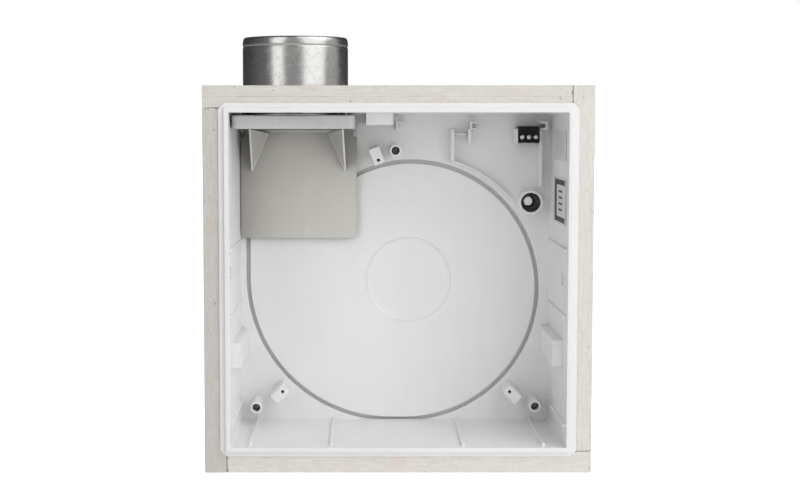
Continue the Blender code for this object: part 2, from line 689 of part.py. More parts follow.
def make_flap():
    """The flap hangs behind the outlet. Its origin is on the hinge axis."""
    middle = HINGE_DEPTH
    half = FLAP_THICKNESS / 2
    shoulder, top = HINGE_H - 0.005, HINGE_H - BARREL_RADIUS + 0.0004
    mesh = bmesh.new()
    outline = rectangle(FLAP_X, (FLAP_BOTTOM, shoulder), FLAP_CORNER, 6)
    lower = [p for p in outline if p[1] < (FLAP_BOTTOM + shoulder) / 2]
    right = [p for p in lower if p[0] > sum(FLAP_X) / 2]
    left = [p for p in lower if p[0] <= sum(FLAP_X) / 2]
    upper = [(FLAP_X[1], shoulder), (BARREL_X[1], shoulder), (BARREL_X[1], top), (BARREL_X[0], top)]
    upper += [(BARREL_X[0], shoulder), (FLAP_X[0], shoulder)]
    add_prism(mesh, left + right + upper, (middle - half, middle + half))
    flap = place("shutoff_flap", mesh, material("flap_plastic", (0.50, 0.49, 0.45), 0.5))
    barrel, bore = bmesh.new(), bmesh.new()
    add_turned(barrel, rod(BARREL_RADIUS, *BARREL_X), (HINGE_DEPTH, HINGE_H), 20, "x")
    add_turned(bore, rod(PIN_BORE, FLAP_X[0], FLAP_X[1]), (HINGE_DEPTH, HINGE_H), 20, "x")
    shape_with(flap, helper("flap_barrel", barrel), "UNION")
    shape_with(flap, helper("flap_bore", bore), "DIFFERENCE")
    axis = world(sum(FLAP_X) / 2, HINGE_H, HINGE_DEPTH)
    flap.data.transform(Matrix.Translation(-axis))
    flap.location = axis
    mesh = bmesh.new()
    add_turned(mesh, rod(PIN_RADIUS, EARS[0][0] - SMALL, EARS[1][1] + SMALL), (HINGE_DEPTH, HINGE_H), 16, "x")
    place("hinge_pin", mesh, material("bright_steel", (0.62, 0.62, 0.60), 0.30, 1.0), smooth=True)


def make_webs():
    """Thin three-cornered side webs between the frame and the flap, which fold as the flap swings up."""
    for name, side in (("flap_web_left", -1), ("flap_web_right", 1)):
        corners = [world(sum(FLAP_X) / 2 + side * x, height, depth) for x, height, depth in WEB_CORNERS]
        across = (corners[1] - corners[0]).cross(corners[2] - corners[0]).normalized() * WEB_THICKNESS / 2
        mesh = bmesh.new()
        near = [mesh.verts.new(corner - across) for corner in corners]
        far = [mesh.verts.new(corner + across) for corner in corners]
        mesh.faces.new(near)
        mesh.faces.new(far[::-1])
        for i in range(3):
            j = (i + 1) % 3
            mesh.faces.new((near[j], near[i], far[i], far[j]))
        place(name, mesh, material("web_film", (0.50, 0.49, 0.45), 0.5))


def main():
    clear_scene()
    make_jacket()
    make_casing()
    make_casing_screws()
    make_cable_entry()
    make_terminal_block()
    make_labels()
    make_spigot()
    make_outlet_frame()
    make_flap()
    make_webs()


main()
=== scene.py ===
"""Looks of the recessed casing of a bathroom extractor fan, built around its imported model.

Places inside the casing are given as (x, height, depth): x and height from the middle of its opening,
depth from the front of its lip to the back, all in metres.
"""

import math

import bmesh
import bpy
from mathutils import Matrix, Vector

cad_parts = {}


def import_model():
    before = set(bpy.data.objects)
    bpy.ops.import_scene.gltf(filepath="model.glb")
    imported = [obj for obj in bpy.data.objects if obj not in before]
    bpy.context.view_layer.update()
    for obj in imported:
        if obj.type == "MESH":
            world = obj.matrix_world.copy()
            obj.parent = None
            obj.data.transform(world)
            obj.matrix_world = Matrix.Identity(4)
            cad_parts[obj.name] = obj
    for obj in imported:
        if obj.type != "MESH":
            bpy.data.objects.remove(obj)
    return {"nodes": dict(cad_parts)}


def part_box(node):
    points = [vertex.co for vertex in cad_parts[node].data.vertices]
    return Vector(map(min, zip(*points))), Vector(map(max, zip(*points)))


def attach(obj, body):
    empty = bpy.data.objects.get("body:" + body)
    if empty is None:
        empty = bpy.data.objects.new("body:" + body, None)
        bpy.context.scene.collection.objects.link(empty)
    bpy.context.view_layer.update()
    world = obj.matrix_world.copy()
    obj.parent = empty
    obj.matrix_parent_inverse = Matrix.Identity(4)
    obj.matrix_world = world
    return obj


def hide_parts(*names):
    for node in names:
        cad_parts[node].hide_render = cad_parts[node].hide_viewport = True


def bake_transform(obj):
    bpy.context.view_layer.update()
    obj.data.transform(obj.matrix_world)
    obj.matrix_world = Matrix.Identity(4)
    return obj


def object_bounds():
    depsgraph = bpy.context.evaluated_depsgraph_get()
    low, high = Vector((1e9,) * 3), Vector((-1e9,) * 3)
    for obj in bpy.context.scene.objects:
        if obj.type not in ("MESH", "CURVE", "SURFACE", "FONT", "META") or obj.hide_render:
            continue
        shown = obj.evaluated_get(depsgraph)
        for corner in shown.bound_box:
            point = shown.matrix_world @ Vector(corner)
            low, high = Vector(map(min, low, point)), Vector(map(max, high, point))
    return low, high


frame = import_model()
cad_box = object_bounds()

BODY = "casing_body"
FLAP_BODY = "flap"

# The casing, from its own box
CASING_LOW, CASING_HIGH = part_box("casing")
CASING_MIDDLE = (CASING_LOW + CASING_HIGH) / 2
FRONT = CASING_LOW.y
CASING_BACK = CASING_HIGH.y - CASING_LOW.y
FLANGE_X = (CASING_HIGH.x - CASING_LOW.x) / 2
FLANGE_H = (CASING_HIGH.z - CASING_LOW.z) / 2
FLANGE_CUT = 0.0045
FLANGE_BACK = 0.003
FLANGE_STEP = 0.0024
LIP_WIDTH = 0.0034
LIP_EDGE = 0.0004
LIP_CORNER = 0.0012
FLOOR_CORNER = 0.002
OPENING_X = FLANGE_X - 0.0075
OPENING_H = FLANGE_H - 0.0070
CAVITY_DEPTH = CASING_BACK - 0.005
WALL = 0.0025
DRAFT = 0.001
FLOOR_FILLET = 0.0009
CORNER_STEPS = 8
RIB = 0.0012

# Spiral seat: (centre x, centre height, radius, first degree, last degree), run clockwise from the tongue
SEAT_ARCS = (
    (0.012, -0.0092, 0.0934, 132, 90),
    (0.012, -0.0158, 0.1000, 90, 0),
    (0.0066, -0.0158, 0.1054, 0, -90),
    (-0.0033, -0.0082, 0.1130, -90, -180),
)
SEAT_TOP = 0.112
SEAT_WIDTH = 0.0032
SEAT_DEPTH = 0.0042
SEAT_STEP = 2.0
HUB = (0.0102, -0.0092)
HUB_RADIUS = 0.0328
HUB_RIM = 0.001
HUB_DISH = ((0.0, 0.0), (0.0004, 0.0013), (0.0014, 0.0020), (0.0032, 0.0024), (0.0060, 0.0026))
SOFT_EDGE = 0.0003
GAP = 0.0003
# How far the painted shade in the casing's corners, grooves and recesses looks for shelter
PAINTED_SHADE_REACH = 0.0045
# Reach of the flap's painted shadow, under the outlet bar and beside its webs
FLAP_PAINTED_SHADOW_REACH = 0.045
GLUE_REACH = 0.0009

# Bosses for the fan insert: (pilot hole x, height, degrees to the outer end)
INSERT_BOSSES = ((-0.01385, 0.08605, 110.7), (-0.0882, -0.0940, 225), (0.0883, -0.0941, 315))
BOSS_SIZE = (0.0132, 0.0084)
BOSS_OFFSET = 0.0034
BOSS_FRONT = 0.065
PILOT_RADIUS = 0.00125
PILOT_DEPTH = 0.014
TUBE_RADIUS = 0.0046
TUBE_BORE = 0.0032
TUBE_FLOOR = 0.0736
FIXING_HOLE = 0.0019
ENTRY_FRONT = 0.079
ENTRY_RADIUS = 0.0096

SPIGOT_RADIUS = 0.0395
# Height of the band on the spigot's top rim that is painted dark as a reflection
PAINTED_RIM_BAND = 0.0007
FLAP_HALF = 0.0007
BARREL_RADIUS = 0.0017
BARREL_BORE = 0.0009
FRAME_CORNER = 0.005
FRAME_RIM = 0.0024
FRAME_FLOOR = 0.0022
FRAME_EAR = 0.002
FRAME_EAR_PROUD = 0.0007
OUTLET_RADIUS = 0.034
SCREW_SINK = 0.0032

# Side webs of the flap: (distance from its middle, height, depth) of the corners
WEB_CORNERS = ((0.0350, 0.1100, 0.0455), (0.0240, 0.1065, 0.0843), (0.0365, 0.0773, 0.0843))
WEB_THICKNESS = 0.0005
WEB_BEAD = 0.0007
WEB_ROWS = 12

# Camera and light
CAMERA_SPOT = (-0.0268, FRONT - 0.990, CASING_MIDDLE.z + 0.1208)
CAMERA_LENS = 61.76
CAMERA_TILT = 4.0
CAMERA_SHIFT = (0.0480, -0.049)
FLOOR_SIZE = 8.0
FLOOR_GLOW = 0.10
FLOOR_WHITE = 1.2
AMBIENT_FRONT = 0.17
AMBIENT_BACK = 0.06
AMBIENT_TURN = (-0.25, 0.55)
LAMP_TARGET = (0.0, 0.0, 0.18)
LAMPS = (
    ("key", (0.95, -1.05, 0.95), (1.65, 2.1), 18.0),
    ("strip", (-0.95, -1.25, 0.80), (0.76, 1.5), 6.3),
    ("side", (1.30, 0.05, 0.50), (0.8, 1.4), 1.6),
    ("top", (0.95, -0.35, 1.20), (1.0, 1.0), 4.2),
    ("centre", (-0.05, -1.60, 0.62), (0.9, 0.8), 0.6),
)


def world(x, height, depth):
    return Vector((CASING_MIDDLE.x + x, FRONT + depth, CASING_MIDDLE.z + height))


def inside(point):
    """(x, height, depth) of a point of the frame."""
    return (point.x - CASING_MIDDLE.x, point.z - CASING_MIDDLE.z, point.y - FRONT)


def node_spans(node):
    """Spans of a node's box along x, height and depth."""
    low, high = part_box(node)
    return tuple(zip(inside(low), inside(high)))


def hinge_axis():
    """Height and depth of the hinge pin."""
    _, height, depth = node_spans("hinge_pin")
    return sum(height) / 2, sum(depth) / 2


def node_centre(node):
    """Middle of a node's box as (x, height)."""
    x, height, _ = node_spans(node)
    return (sum(x) / 2, sum(height) / 2)


def plan_centre(node):
    """Middle of a node's box as (x, depth)."""
    x, _, depth = node_spans(node)
    return (sum(x) / 2, sum(depth) / 2)


def half_width(node):
    x, _, _ = node_spans(node)
    return (x[1] - x[0]) / 2


# Materials


class Finish:
    """A material under construction. Sizes are in metres on the object itself."""

    def __init__(self, name, **sockets):
        self.material = bpy.data.materials.new(name)
        self.material.use_nodes = True
        self.nodes = self.material.node_tree.nodes
        self.links = self.material.node_tree.links
        self.shader = self.nodes["Principled BSDF"]
        for socket, value in sockets.items():
            self.shader.inputs[socket.replace("_", " ")].default_value = value
        self.place = self.nodes.new("ShaderNodeTexCoord").outputs["Object"]

    def link(self, source, socket):
        self.links.new(source, socket)

    def stretched(self, stretch):
        """Coordinates squeezed along each axis, so that a pattern is stretch times as long there."""
        mapping = self.nodes.new("ShaderNodeMapping")
        mapping.inputs["Scale"].default_value = tuple(1 / s for s in stretch)
        self.link(self.place, mapping.inputs["Vector"])
        return mapping.outputs["Vector"]

    def noise(self, size, detail=3.0, rough=0.5, stretch=None):
        texture = self.nodes.new("ShaderNodeTexNoise")
        texture.inputs["Scale"].default_value = 1 / size
        texture.inputs["Detail"].default_value = detail
        texture.inputs["Roughness"].default_value = rough
        self.link(self.stretched(stretch) if stretch else self.place, texture.inputs["Vector"])
        return texture.outputs["Fac"]

    def cells(self, size, output="Distance", stretch=None):
        texture = self.nodes.new("ShaderNodeTexVoronoi")
        texture.inputs["Scale"].default_value = 1 / size
        self.link(self.stretched(stretch) if stretch else self.place, texture.inputs["Vector"])
        return texture.outputs[output]

    def grey(self, source, low, high, dark=0.0, light=1.0):
        """Maps source from low..high to dark..light, held at both ends."""
        spread = self.nodes.new("ShaderNodeMapRange")
        spread.interpolation_type = "SMOOTHSTEP"
        self.link(source, spread.inputs["Value"])
        for socket, value in (("From Min", low), ("From Max", high), ("To Min", dark), ("To Max", light)):
            spread.inputs[socket].default_value = value
        return spread.outputs["Result"]

    def mix(self, factor, first, second):
        """Colour between two colours or sockets."""
        blend = self.nodes.new("ShaderNodeMix")
        blend.data_type = "RGBA"
        self.link(factor, blend.inputs["Factor"])
        for socket, value in ((blend.inputs["A"], first), (blend.inputs["B"], second)):
            if isinstance(value, tuple):
                socket.default_value = (*value, 1.0)
            else:
                self.link(value, socket)
        return blend.outputs["Result"]

    def sum(self, first, second, operation="ADD"):
        maths = self.nodes.new("ShaderNodeMath")
        maths.operation = operation
        for socket, value in zip(maths.inputs, (first, second)):
            if isinstance(value, float):
                socket.default_value = value
            else:
                self.link(value, socket)
        return maths.outputs["Value"]

    def colour(self, source):
        self.link(source, self.shader.inputs["Base Color"])

    def roughness(self, source):
        self.link(source, self.shader.inputs["Roughness"])

    def relief(self, *layers):
        """Bumps from (height socket, depth in metres) pairs."""
        normal = None
        for source, depth in layers:
            bump = self.nodes.new("ShaderNodeBump")
            bump.inputs["Distance"].default_value = depth
            self.link(source, bump.inputs["Height"])
            if normal is not None:
                self.link(normal, bump.inputs["Normal"])
            normal = bump.outputs["Normal"]
        self.link(normal, self.shader.inputs["Normal"])


def fire_board(name, layers, tone_and_painted_shade=1.0, seam=None, glued=None):
    """Pressed mineral board. Its layers lie across one axis, so a cut edge shows streaks along it, and a
    seam is the place on that axis where two layers meet. Brown glue has soaked into the end that butts
    against the next board, given as (axis, place)."""
    finish = Finish(name, Roughness=0.92, Specular_IOR_Level=0.25)

    # The shade factor scales every colour down: slightly on the top board, and on the left board as painted
    # shade
    def tint(*colour):
        return tuple(tone_and_painted_shade * part for part in colour)

    flat = tuple(0.16 if axis == layers else 1.0 for axis in "xyz")
    tone = finish.mix(finish.noise(0.030), tint(0.700, 0.664, 0.615), tint(0.770, 0.742, 0.702))
    streak = finish.grey(finish.noise(0.011, 4.0, 0.6, flat), 0.36, 0.66)
    tone = finish.mix(streak, tone, tint(0.790, 0.762, 0.724))
    mottle = finish.grey(finish.noise(0.0022, 3.0, 0.65), 0.50, 0.74, 0.0, 0.40)
    tone = finish.mix(mottle, tone, tint(0.61, 0.555, 0.490))
    warm = finish.grey(finish.noise(0.016, 3.0, 0.6), 0.56, 0.74, 0.0, 0.45)
    tone = finish.mix(warm, tone, tint(0.76, 0.635, 0.525))
    crumb = finish.grey(finish.noise(0.0030, 4.0, 0.75), 0.655, 0.72)
    pit = finish.sum(crumb, finish.grey(finish.noise(0.024), 0.44, 0.56, 0.15, 1.0), "MULTIPLY")
    tone = finish.mix(pit, tone, tint(0.37, 0.325, 0.28))
    relief = [(finish.noise(0.0009, 5.0, 0.7), 0.00016), (streak, 0.00012)]
    relief.append((finish.sum(1.0, pit, "SUBTRACT"), 0.0006))
    if seam is not None:
        broken = finish.grey(finish.noise(0.010, 3.0, 0.6), 0.40, 0.60, 0.10, 0.62)
        line = band_mask(finish, layers.upper(), seam - 0.0002, seam + 0.0002, 0.0002)
        line = finish.sum(line, broken, "MULTIPLY")
        tone = finish.mix(line, tone, tint(0.52, 0.47, 0.42))
        relief.append((finish.sum(1.0, line, "SUBTRACT"), 0.0003))
    if glued is not None:
        axis, place = glued
        soaked = finish.grey(finish.noise(0.0035, 4.0, 0.7), 0.47, 0.60)
        end = band_mask(finish, axis, place - GLUE_REACH, place + GLUE_REACH, 0.0004)
        soaked = finish.sum(end, soaked, "MULTIPLY")
        tone = finish.mix(soaked, tone, (0.30, 0.185, 0.105))
    finish.colour(tone)
    finish.relief(*relief)
    return finish.material


def moulded(name, light, dark, roughness, painted_shade=None, reach=PAINTED_SHADE_REACH, bare=(0.10, 0.62), **sockets):
    """Moulded plastic: a slightly uneven tone, flow marks and the fine grain of its mould. With a painted
    shade colour, sheltered places are painted darker, as shade falls there: reach is how far they look for
    shelter, and bare is how open a place is with the full painted shade colour and with none."""
    finish = Finish(name, **sockets)
    cloud = finish.noise(0.045, 3.0, 0.5)
    flow = finish.noise(0.012, 4.0, 0.6, (1.0, 1.0, 3.5))
    tone = finish.mix(finish.grey(finish.sum(cloud, flow), 0.80, 1.20), dark, light)
    # Painted shade: places sheltered within reach are darkened towards the painted shade colour
    if painted_shade:
        painted_shade_ao = finish.nodes.new("ShaderNodeAmbientOcclusion")
        painted_shade_ao.samples = 8
        painted_shade_ao.inputs["Distance"].default_value = reach
        tone = finish.mix(finish.grey(painted_shade_ao.outputs["AO"], *bare), painted_shade, tone)
    finish.colour(tone)
    dull = finish.sum(finish.noise(0.009, 4.0, 0.6), finish.noise(0.0011, 2.0), "MULTIPLY")
    finish.roughness(finish.grey(dull, 0.12, 0.40, roughness - 0.06, roughness + 0.07))
    finish.relief((finish.noise(0.00045, 3.0, 0.7), 0.00002), (cloud, 0.00025))
    return finish.material


def galvanised():
    """Zinc-coated sheet, rolled into a tube: soft spangle, rolling lines and handling marks."""
    finish = Finish("galvanised_sheet", Metallic=1.0)
    spangle = finish.grey(finish.cells(0.0055, "Color"), 0.15, 0.85)
    rolled = finish.noise(0.0011, 4.0, 0.65, (8.0, 8.0, 1.0))
    marks = finish.grey(finish.noise(0.0042, 6.0, 0.72), 0.50, 0.74)
    tone = finish.mix(spangle, (0.455, 0.452, 0.444), (0.505, 0.500, 0.490))
    tone = finish.mix(finish.grey(rolled, 0.35, 0.65, 0.0, 0.5), tone, (0.545, 0.538, 0.524))
    tone = finish.mix(finish.sum(marks, 0.40, "MULTIPLY"), tone, (0.36, 0.355, 0.345))
    finish.colour(tone)
    dull = finish.sum(finish.sum(rolled, 0.5, "MULTIPLY"), finish.sum(marks, 0.5, "MULTIPLY"))
    finish.roughness(finish.grey(dull, 0.10, 0.75, 0.24, 0.38))
    dents = finish.noise(0.022, 2.0, 0.5)
    finish.relief((rolled, 0.000012), (marks, 0.000012), (dents, 0.00022))
    return finish.material


def plated(name, light, dark, roughness):
    """Machined or plated metal with fine scratches and a little tarnish."""
    finish = Finish(name, Metallic=1.0)
    tarnish = finish.grey(finish.noise(0.0021, 4.0, 0.65), 0.38, 0.66)
    scratch = finish.noise(0.00035, 3.0, 0.6, (5.0, 1.0, 1.0))
    finish.colour(finish.mix(tarnish, light, dark))
    finish.roughness(finish.grey(finish.sum(tarnish, scratch), 0.5, 1.5, roughness - 0.08, roughness + 0.16))
    finish.relief((scratch, 0.000012), (tarnish, 0.00002))
    return finish.material


def rubber():
    finish = Finish("grommet_rubber", Specular_IOR_Level=0.35)
    bloom = finish.grey(finish.noise(0.0032, 5.0, 0.7), 0.42, 0.72)
    finish.colour(finish.mix(bloom, (0.030, 0.030, 0.030), (0.075, 0.075, 0.073)))
    finish.roughness(finish.grey(bloom, 0.0, 1.0, 0.55, 0.78))
    finish.relief((finish.noise(0.0005, 3.0, 0.7), 0.00003))
    return finish.material


def mastic():
    finish = Finish("fire_mastic")
    lump = finish.noise(0.0034, 4.0, 0.6)
    finish.colour(finish.mix(finish.grey(lump, 0.35, 0.65), (0.47, 0.47, 0.45), (0.58, 0.575, 0.555)))
    finish.roughness(finish.grey(lump, 0.3, 0.7, 0.72, 0.88))
    finish.relief((lump, 0.0007), (finish.noise(0.0008, 3.0), 0.00008))
    return finish.material


def band_mask(finish, axis, low, high, soft=0.0001):
    """1 between two places along an axis of the object, 0 outside them."""
    split = finish.nodes.new("ShaderNodeSeparateXYZ")
    finish.link(finish.place, split.inputs["Vector"])
    along = split.outputs[axis]
    rise = finish.grey(along, low - soft, low + soft)
    fall = finish.grey(along, high - soft, high + soft, 1.0, 0.0)
    return finish.sum(rise, fall, "MULTIPLY")


def sticker(name, marks, ink):
    """Coated film with plain printed areas, each given as ((low y, high y), (low z, high z))."""
    finish = Finish(name, Specular_IOR_Level=0.3)
    fibre = finish.grey(finish.noise(0.0016, 5.0, 0.7), 0.35, 0.70)
    tone = finish.mix(fibre, (0.745, 0.745, 0.755), (0.700, 0.700, 0.715))
    for (low_y, high_y), (low_z, high_z) in marks:
        across, up = band_mask(finish, "Y", low_y, high_y), band_mask(finish, "Z", low_z, high_z)
        tone = finish.mix(finish.sum(across, up, "MULTIPLY"), tone, ink)
    finish.colour(tone)
    finish.roughness(finish.grey(fibre, 0.0, 1.0, 0.46, 0.58))
    finish.relief((finish.noise(0.007, 2.0), 0.00012))
    return finish.material


# Shapes


def add_prism(mesh, outline, span, plane="front", soft=0.0, steps=2):
    """A closed prism whose rims are rounded by soft. The plane says what an outline's two numbers are:
    front is (x, height), top is (x, depth) and side is (depth, height)."""
    spots = {
        "front": lambda a, b, c: world(a, b, c),
        "top": lambda a, b, c: world(a, c, b),
        "side": lambda a, b, c: world(c, b, a),
    }
    spot = spots[plane]
    ends = [[mesh.verts.new(spot(a, b, c)) for a, b in outline] for c in span]
    faces = [mesh.faces.new(ends[0]), mesh.faces.new(list(reversed(ends[1])))]
    for i in range(len(outline)):
        j = (i + 1) % len(outline)
        faces.append(mesh.faces.new((ends[0][j], ends[0][i], ends[1][i], ends[1][j])))
    bmesh.ops.recalc_face_normals(mesh, faces=faces)
    if soft:
        edges = {edge for face in faces for edge in face.edges}
        sharp = [edge for edge in edges if edge.calc_face_angle(0.0) > math.radians(30)]
        bmesh.ops.bevel(mesh, geom=sharp, offset=soft, segments=steps, profile=0.5, affect="EDGES")


def rectangle(first, second, corner=0.0, steps=CORNER_STEPS):
    """Outline of a rectangle from two spans, with round corners."""
    if corner == 0.0:
        return [(first[0], second[0]), (first[1], second[0]), (first[1], second[1]), (first[0], second[1])]
    corners = (
        (first[1] - corner, second[0] + corner, -90),
        (first[1] - corner, second[1] - corner, 0),
        (first[0] + corner, second[1] - corner, 90),
        (first[0] + corner, second[0] + corner, 180),
    )
    outline = []
    for a, b, start in corners:
        for k in range(steps + 1):
            angle = math.radians(start + 90 * k / steps)
            outline.append((a + corner * math.cos(angle), b + corner * math.sin(angle)))
    return outline


def add_block(mesh, x, height, depth, soft=SOFT_EDGE):
    add_prism(mesh, rectangle(x, height), depth, soft=soft)


def add_turned(mesh, profile, centre, sides, axis="depth"):
    """A body of revolution. The profile is a closed outline of (radius, distance along the axis); the
    centre gives the two coordinates that stay the same along the axis."""
    spots = {
        "depth": lambda u, v, along: world(centre[0] + u, centre[1] + v, along),
        "height": lambda u, v, along: world(centre[0] + u, along, centre[1] + v),
        "x": lambda u, v, along: world(along, centre[1] + v, centre[0] + u),
    }
    spot = spots[axis]
    rings = []
    for radius, along in profile:
        if radius == 0.0:
            rings.append([mesh.verts.new(spot(0.0, 0.0, along))])
            continue
        turns = (2 * math.pi * k / sides for k in range(sides))
        rings.append([mesh.verts.new(spot(radius * math.cos(t), radius * math.sin(t), along)) for t in turns])
    for here, there in zip(rings, rings[1:] + rings[:1]):
        if len(here) == 1 and len(there) == 1:
            continue
        for k in range(sides):
            j = (k + 1) % sides
            corners = (here[k % len(here)], here[j % len(here)], there[j % len(there)], there[k % len(there)])
            mesh.faces.new(list(dict.fromkeys(corners)))


def rod(radius, start, end, soft=0.0):
    """Profile of a rod whose first end is rounded by soft."""
    if not soft:
        return ((0.0, start), (radius, start), (radius, end), (0.0, end))
    turns = [math.radians(30 * k) for k in range(4)]
    rim = [(radius - soft + soft * math.sin(t), start + soft - soft * math.cos(t)) for t in turns]
    return ((0.0, start), *rim, (radius, end), (0.0, end))


def arc(x, height, radius, first, last, steps):
    turns = (math.radians(first + (last - first) * k / steps) for k in range(steps + 1))
    return [(x + radius * math.cos(t), height + radius * math.sin(t)) for t in turns]


def seat_line():
    """The middle line of the spiral seat, from its tongue round to the top of the outlet."""
    line = []
    for x, height, radius, first, last in SEAT_ARCS:
        line += arc(x, height, radius, first, last, round(abs(first - last) / SEAT_STEP))
    line.append((line[-1][0], SEAT_TOP))
    kept = [line[0]]
    for point in line[1:]:
        if math.dist(point, kept[-1]) > 0.0001:
            kept.append(point)
    return kept


def band(line, width):
    """Outline of a strip of even width along a line."""
    left, right = [], []
    for i, point in enumerate(line):
        before = Vector(line[max(i - 1, 0)])
        after = Vector(line[min(i + 1, len(line) - 1)])
        along = (after - before).normalized()
        side = Vector((-along.y, along.x)) * width / 2
        left.append(tuple(Vector(point) + side))
        right.append(tuple(Vector(point) - side))
    return left + right[::-1]


def add_lofted(mesh, outlines):
    """A closed skin through outlines of equal length, each given with its depth."""
    rings = []
    for outline, depth in outlines:
        rings.append([mesh.verts.new(world(x, height, depth)) for x, height in outline])
    count = len(rings[0])
    for here, there in zip(rings, rings[1:]):
        for i in range(count):
            j = (i + 1) % count
            mesh.faces.new((here[i], here[j], there[j], there[i]))
    mesh.faces.new(rings[0])
    mesh.faces.new(rings[-1])


def thing_of(name, mesh):
    bmesh.ops.recalc_face_normals(mesh, faces=mesh.faces)
    data = bpy.data.meshes.new(name)
    mesh.to_mesh(data)
    mesh.free()
    thing = bpy.data.objects.new(name, data)
    bpy.context.scene.collection.objects.link(thing)
    return thing


def shape_with(thing, tool, operation):
    """Joins a helper body to a piece or cuts it out of it, for good."""
    step = thing.modifiers.new("shape", "BOOLEAN")
    step.operation = operation
    step.solver = "EXACT"
    step.use_self = True
    step.object = tool
    shaped = thing.evaluated_get(bpy.context.evaluated_depsgraph_get())
    data = bpy.data.meshes.new_from_object(shaped)
    thing.modifiers.clear()
    thing.data = data
    bpy.data.objects.remove(tool)


def finish_piece(thing, material, body, nodes, angle=40):
    """Smooths a piece, gives it its material and body, and lets it stand for its CAD nodes."""
    thing.data.materials.clear()
    thing.data.materials.append(material)
    thing.data.shade_smooth()
    thing.data.set_sharp_from_angle(angle=math.radians(angle))
    even = thing.modifiers.new("even_shading", "WEIGHTED_NORMAL")
    even.keep_sharp = True
    even.weight = 60
    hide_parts(*nodes)
    if body:
        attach(thing, body)
    return thing


# Casing


def corner_outline(half_x, half_h, corner, cut=False):
    """Outline round the casing. A cut corner is straight, any other is round."""
    outline = []
    for k in range(4):
        sx, sh = ((1, -1), (1, 1), (-1, 1), (-1, -1))[k]
        middle = Vector((sx * (half_x - corner), sh * (half_h - corner)))
        first = Vector((math.cos(math.radians(90 * k - 90)), math.sin(math.radians(90 * k - 90))))
        last = Vector((-first.y, first.x))
        for step in range(CORNER_STEPS + 1):
            share = step / CORNER_STEPS
            angle = share * math.pi / 2
            arm = first * (1 - share) + last * share
            if not cut:
                arm = first * math.cos(angle) + last * math.sin(angle)
            outline.append(tuple(middle + arm * corner))
    return outline


def casing_skin():
    """Outlines of the casing from the back round the outside, over the lip and down inside to the floor."""
    outer_x, outer_h = OPENING_X + WALL, OPENING_H + WALL
    skin = []

    def ring(half_x, half_h, corner, depth, cut=False):
        skin.append((corner_outline(half_x, half_h, corner, cut), depth))

    ring(outer_x - DRAFT - 0.0006, outer_h - DRAFT - 0.0006, 0.0036, CASING_BACK)
    ring(outer_x - DRAFT, outer_h - DRAFT, 0.004, CASING_BACK - 0.0006)
    ring(outer_x, outer_h, 0.005, FLANGE_BACK)
    for inset, depth in ((0.0002, FLANGE_BACK), (0.0, FLANGE_BACK - 0.0002), (0.0, FLANGE_STEP + 0.0002),
                         (0.0002, FLANGE_STEP)):
        ring(FLANGE_X - inset, FLANGE_H - inset, FLANGE_CUT, depth, cut=True)
    foot = LIP_WIDTH + 0.0002
    ring(OPENING_X + foot, OPENING_H + foot, LIP_CORNER, FLANGE_STEP)
    for k in range(4):
        turn = math.radians(30 * k)
        out = LIP_WIDTH - LIP_EDGE * (1 - math.cos(turn))
        ring(OPENING_X + out, OPENING_H + out, LIP_CORNER, LIP_EDGE * (1 - math.sin(turn)))
    for k in range(4):
        turn = math.radians(30 * k)
        out = LIP_EDGE * (1 - math.sin(turn))
        ring(OPENING_X + out, OPENING_H + out, LIP_CORNER, LIP_EDGE * (1 - math.cos(turn)))
    for k in range(5):
        turn = math.radians(22.5 * k)
        inset = DRAFT + FLOOR_FILLET * (1 - math.cos(turn))
        depth = CAVITY_DEPTH - FLOOR_FILLET * (1 - math.sin(turn))
        ring(OPENING_X - inset, OPENING_H - inset, FLOOR_CORNER, depth)
    return skin


def add_wall_ribs(mesh):
    """Thin ribs that run from the front to the back on the bottom and side walls."""
    depth = (0.0055, CAVITY_DEPTH + 0.001)
    for x in (-0.109, -0.049, 0.048, 0.107):
        add_block(mesh, (x - RIB, x + RIB), (-OPENING_H - 0.001, -OPENING_H + 0.0024), depth)
    for height in (0.022, -0.027, -0.107):
        rise = (height - RIB, height + RIB)
        add_block(mesh, (-OPENING_X - 0.001, -OPENING_X + 0.0020), rise, depth)
        add_block(mesh, (OPENING_X - 0.0024, OPENING_X + 0.001), rise, depth)


def add_lugs(mesh):
    """Three blocks on the walls that the fan insert rests against."""
    depth = (0.020, CAVITY_DEPTH + 0.001)
    add_block(mesh, (-OPENING_X - 0.001, -0.1168), (-0.0672, -0.0482), depth, 0.0005)
    add_block(mesh, (0.1149, OPENING_X + 0.001), (-0.0660, -0.0460), depth, 0.0005)
    add_block(mesh, (-0.0235, -0.0036), (0.1134, OPENING_H + 0.001), depth, 0.0005)


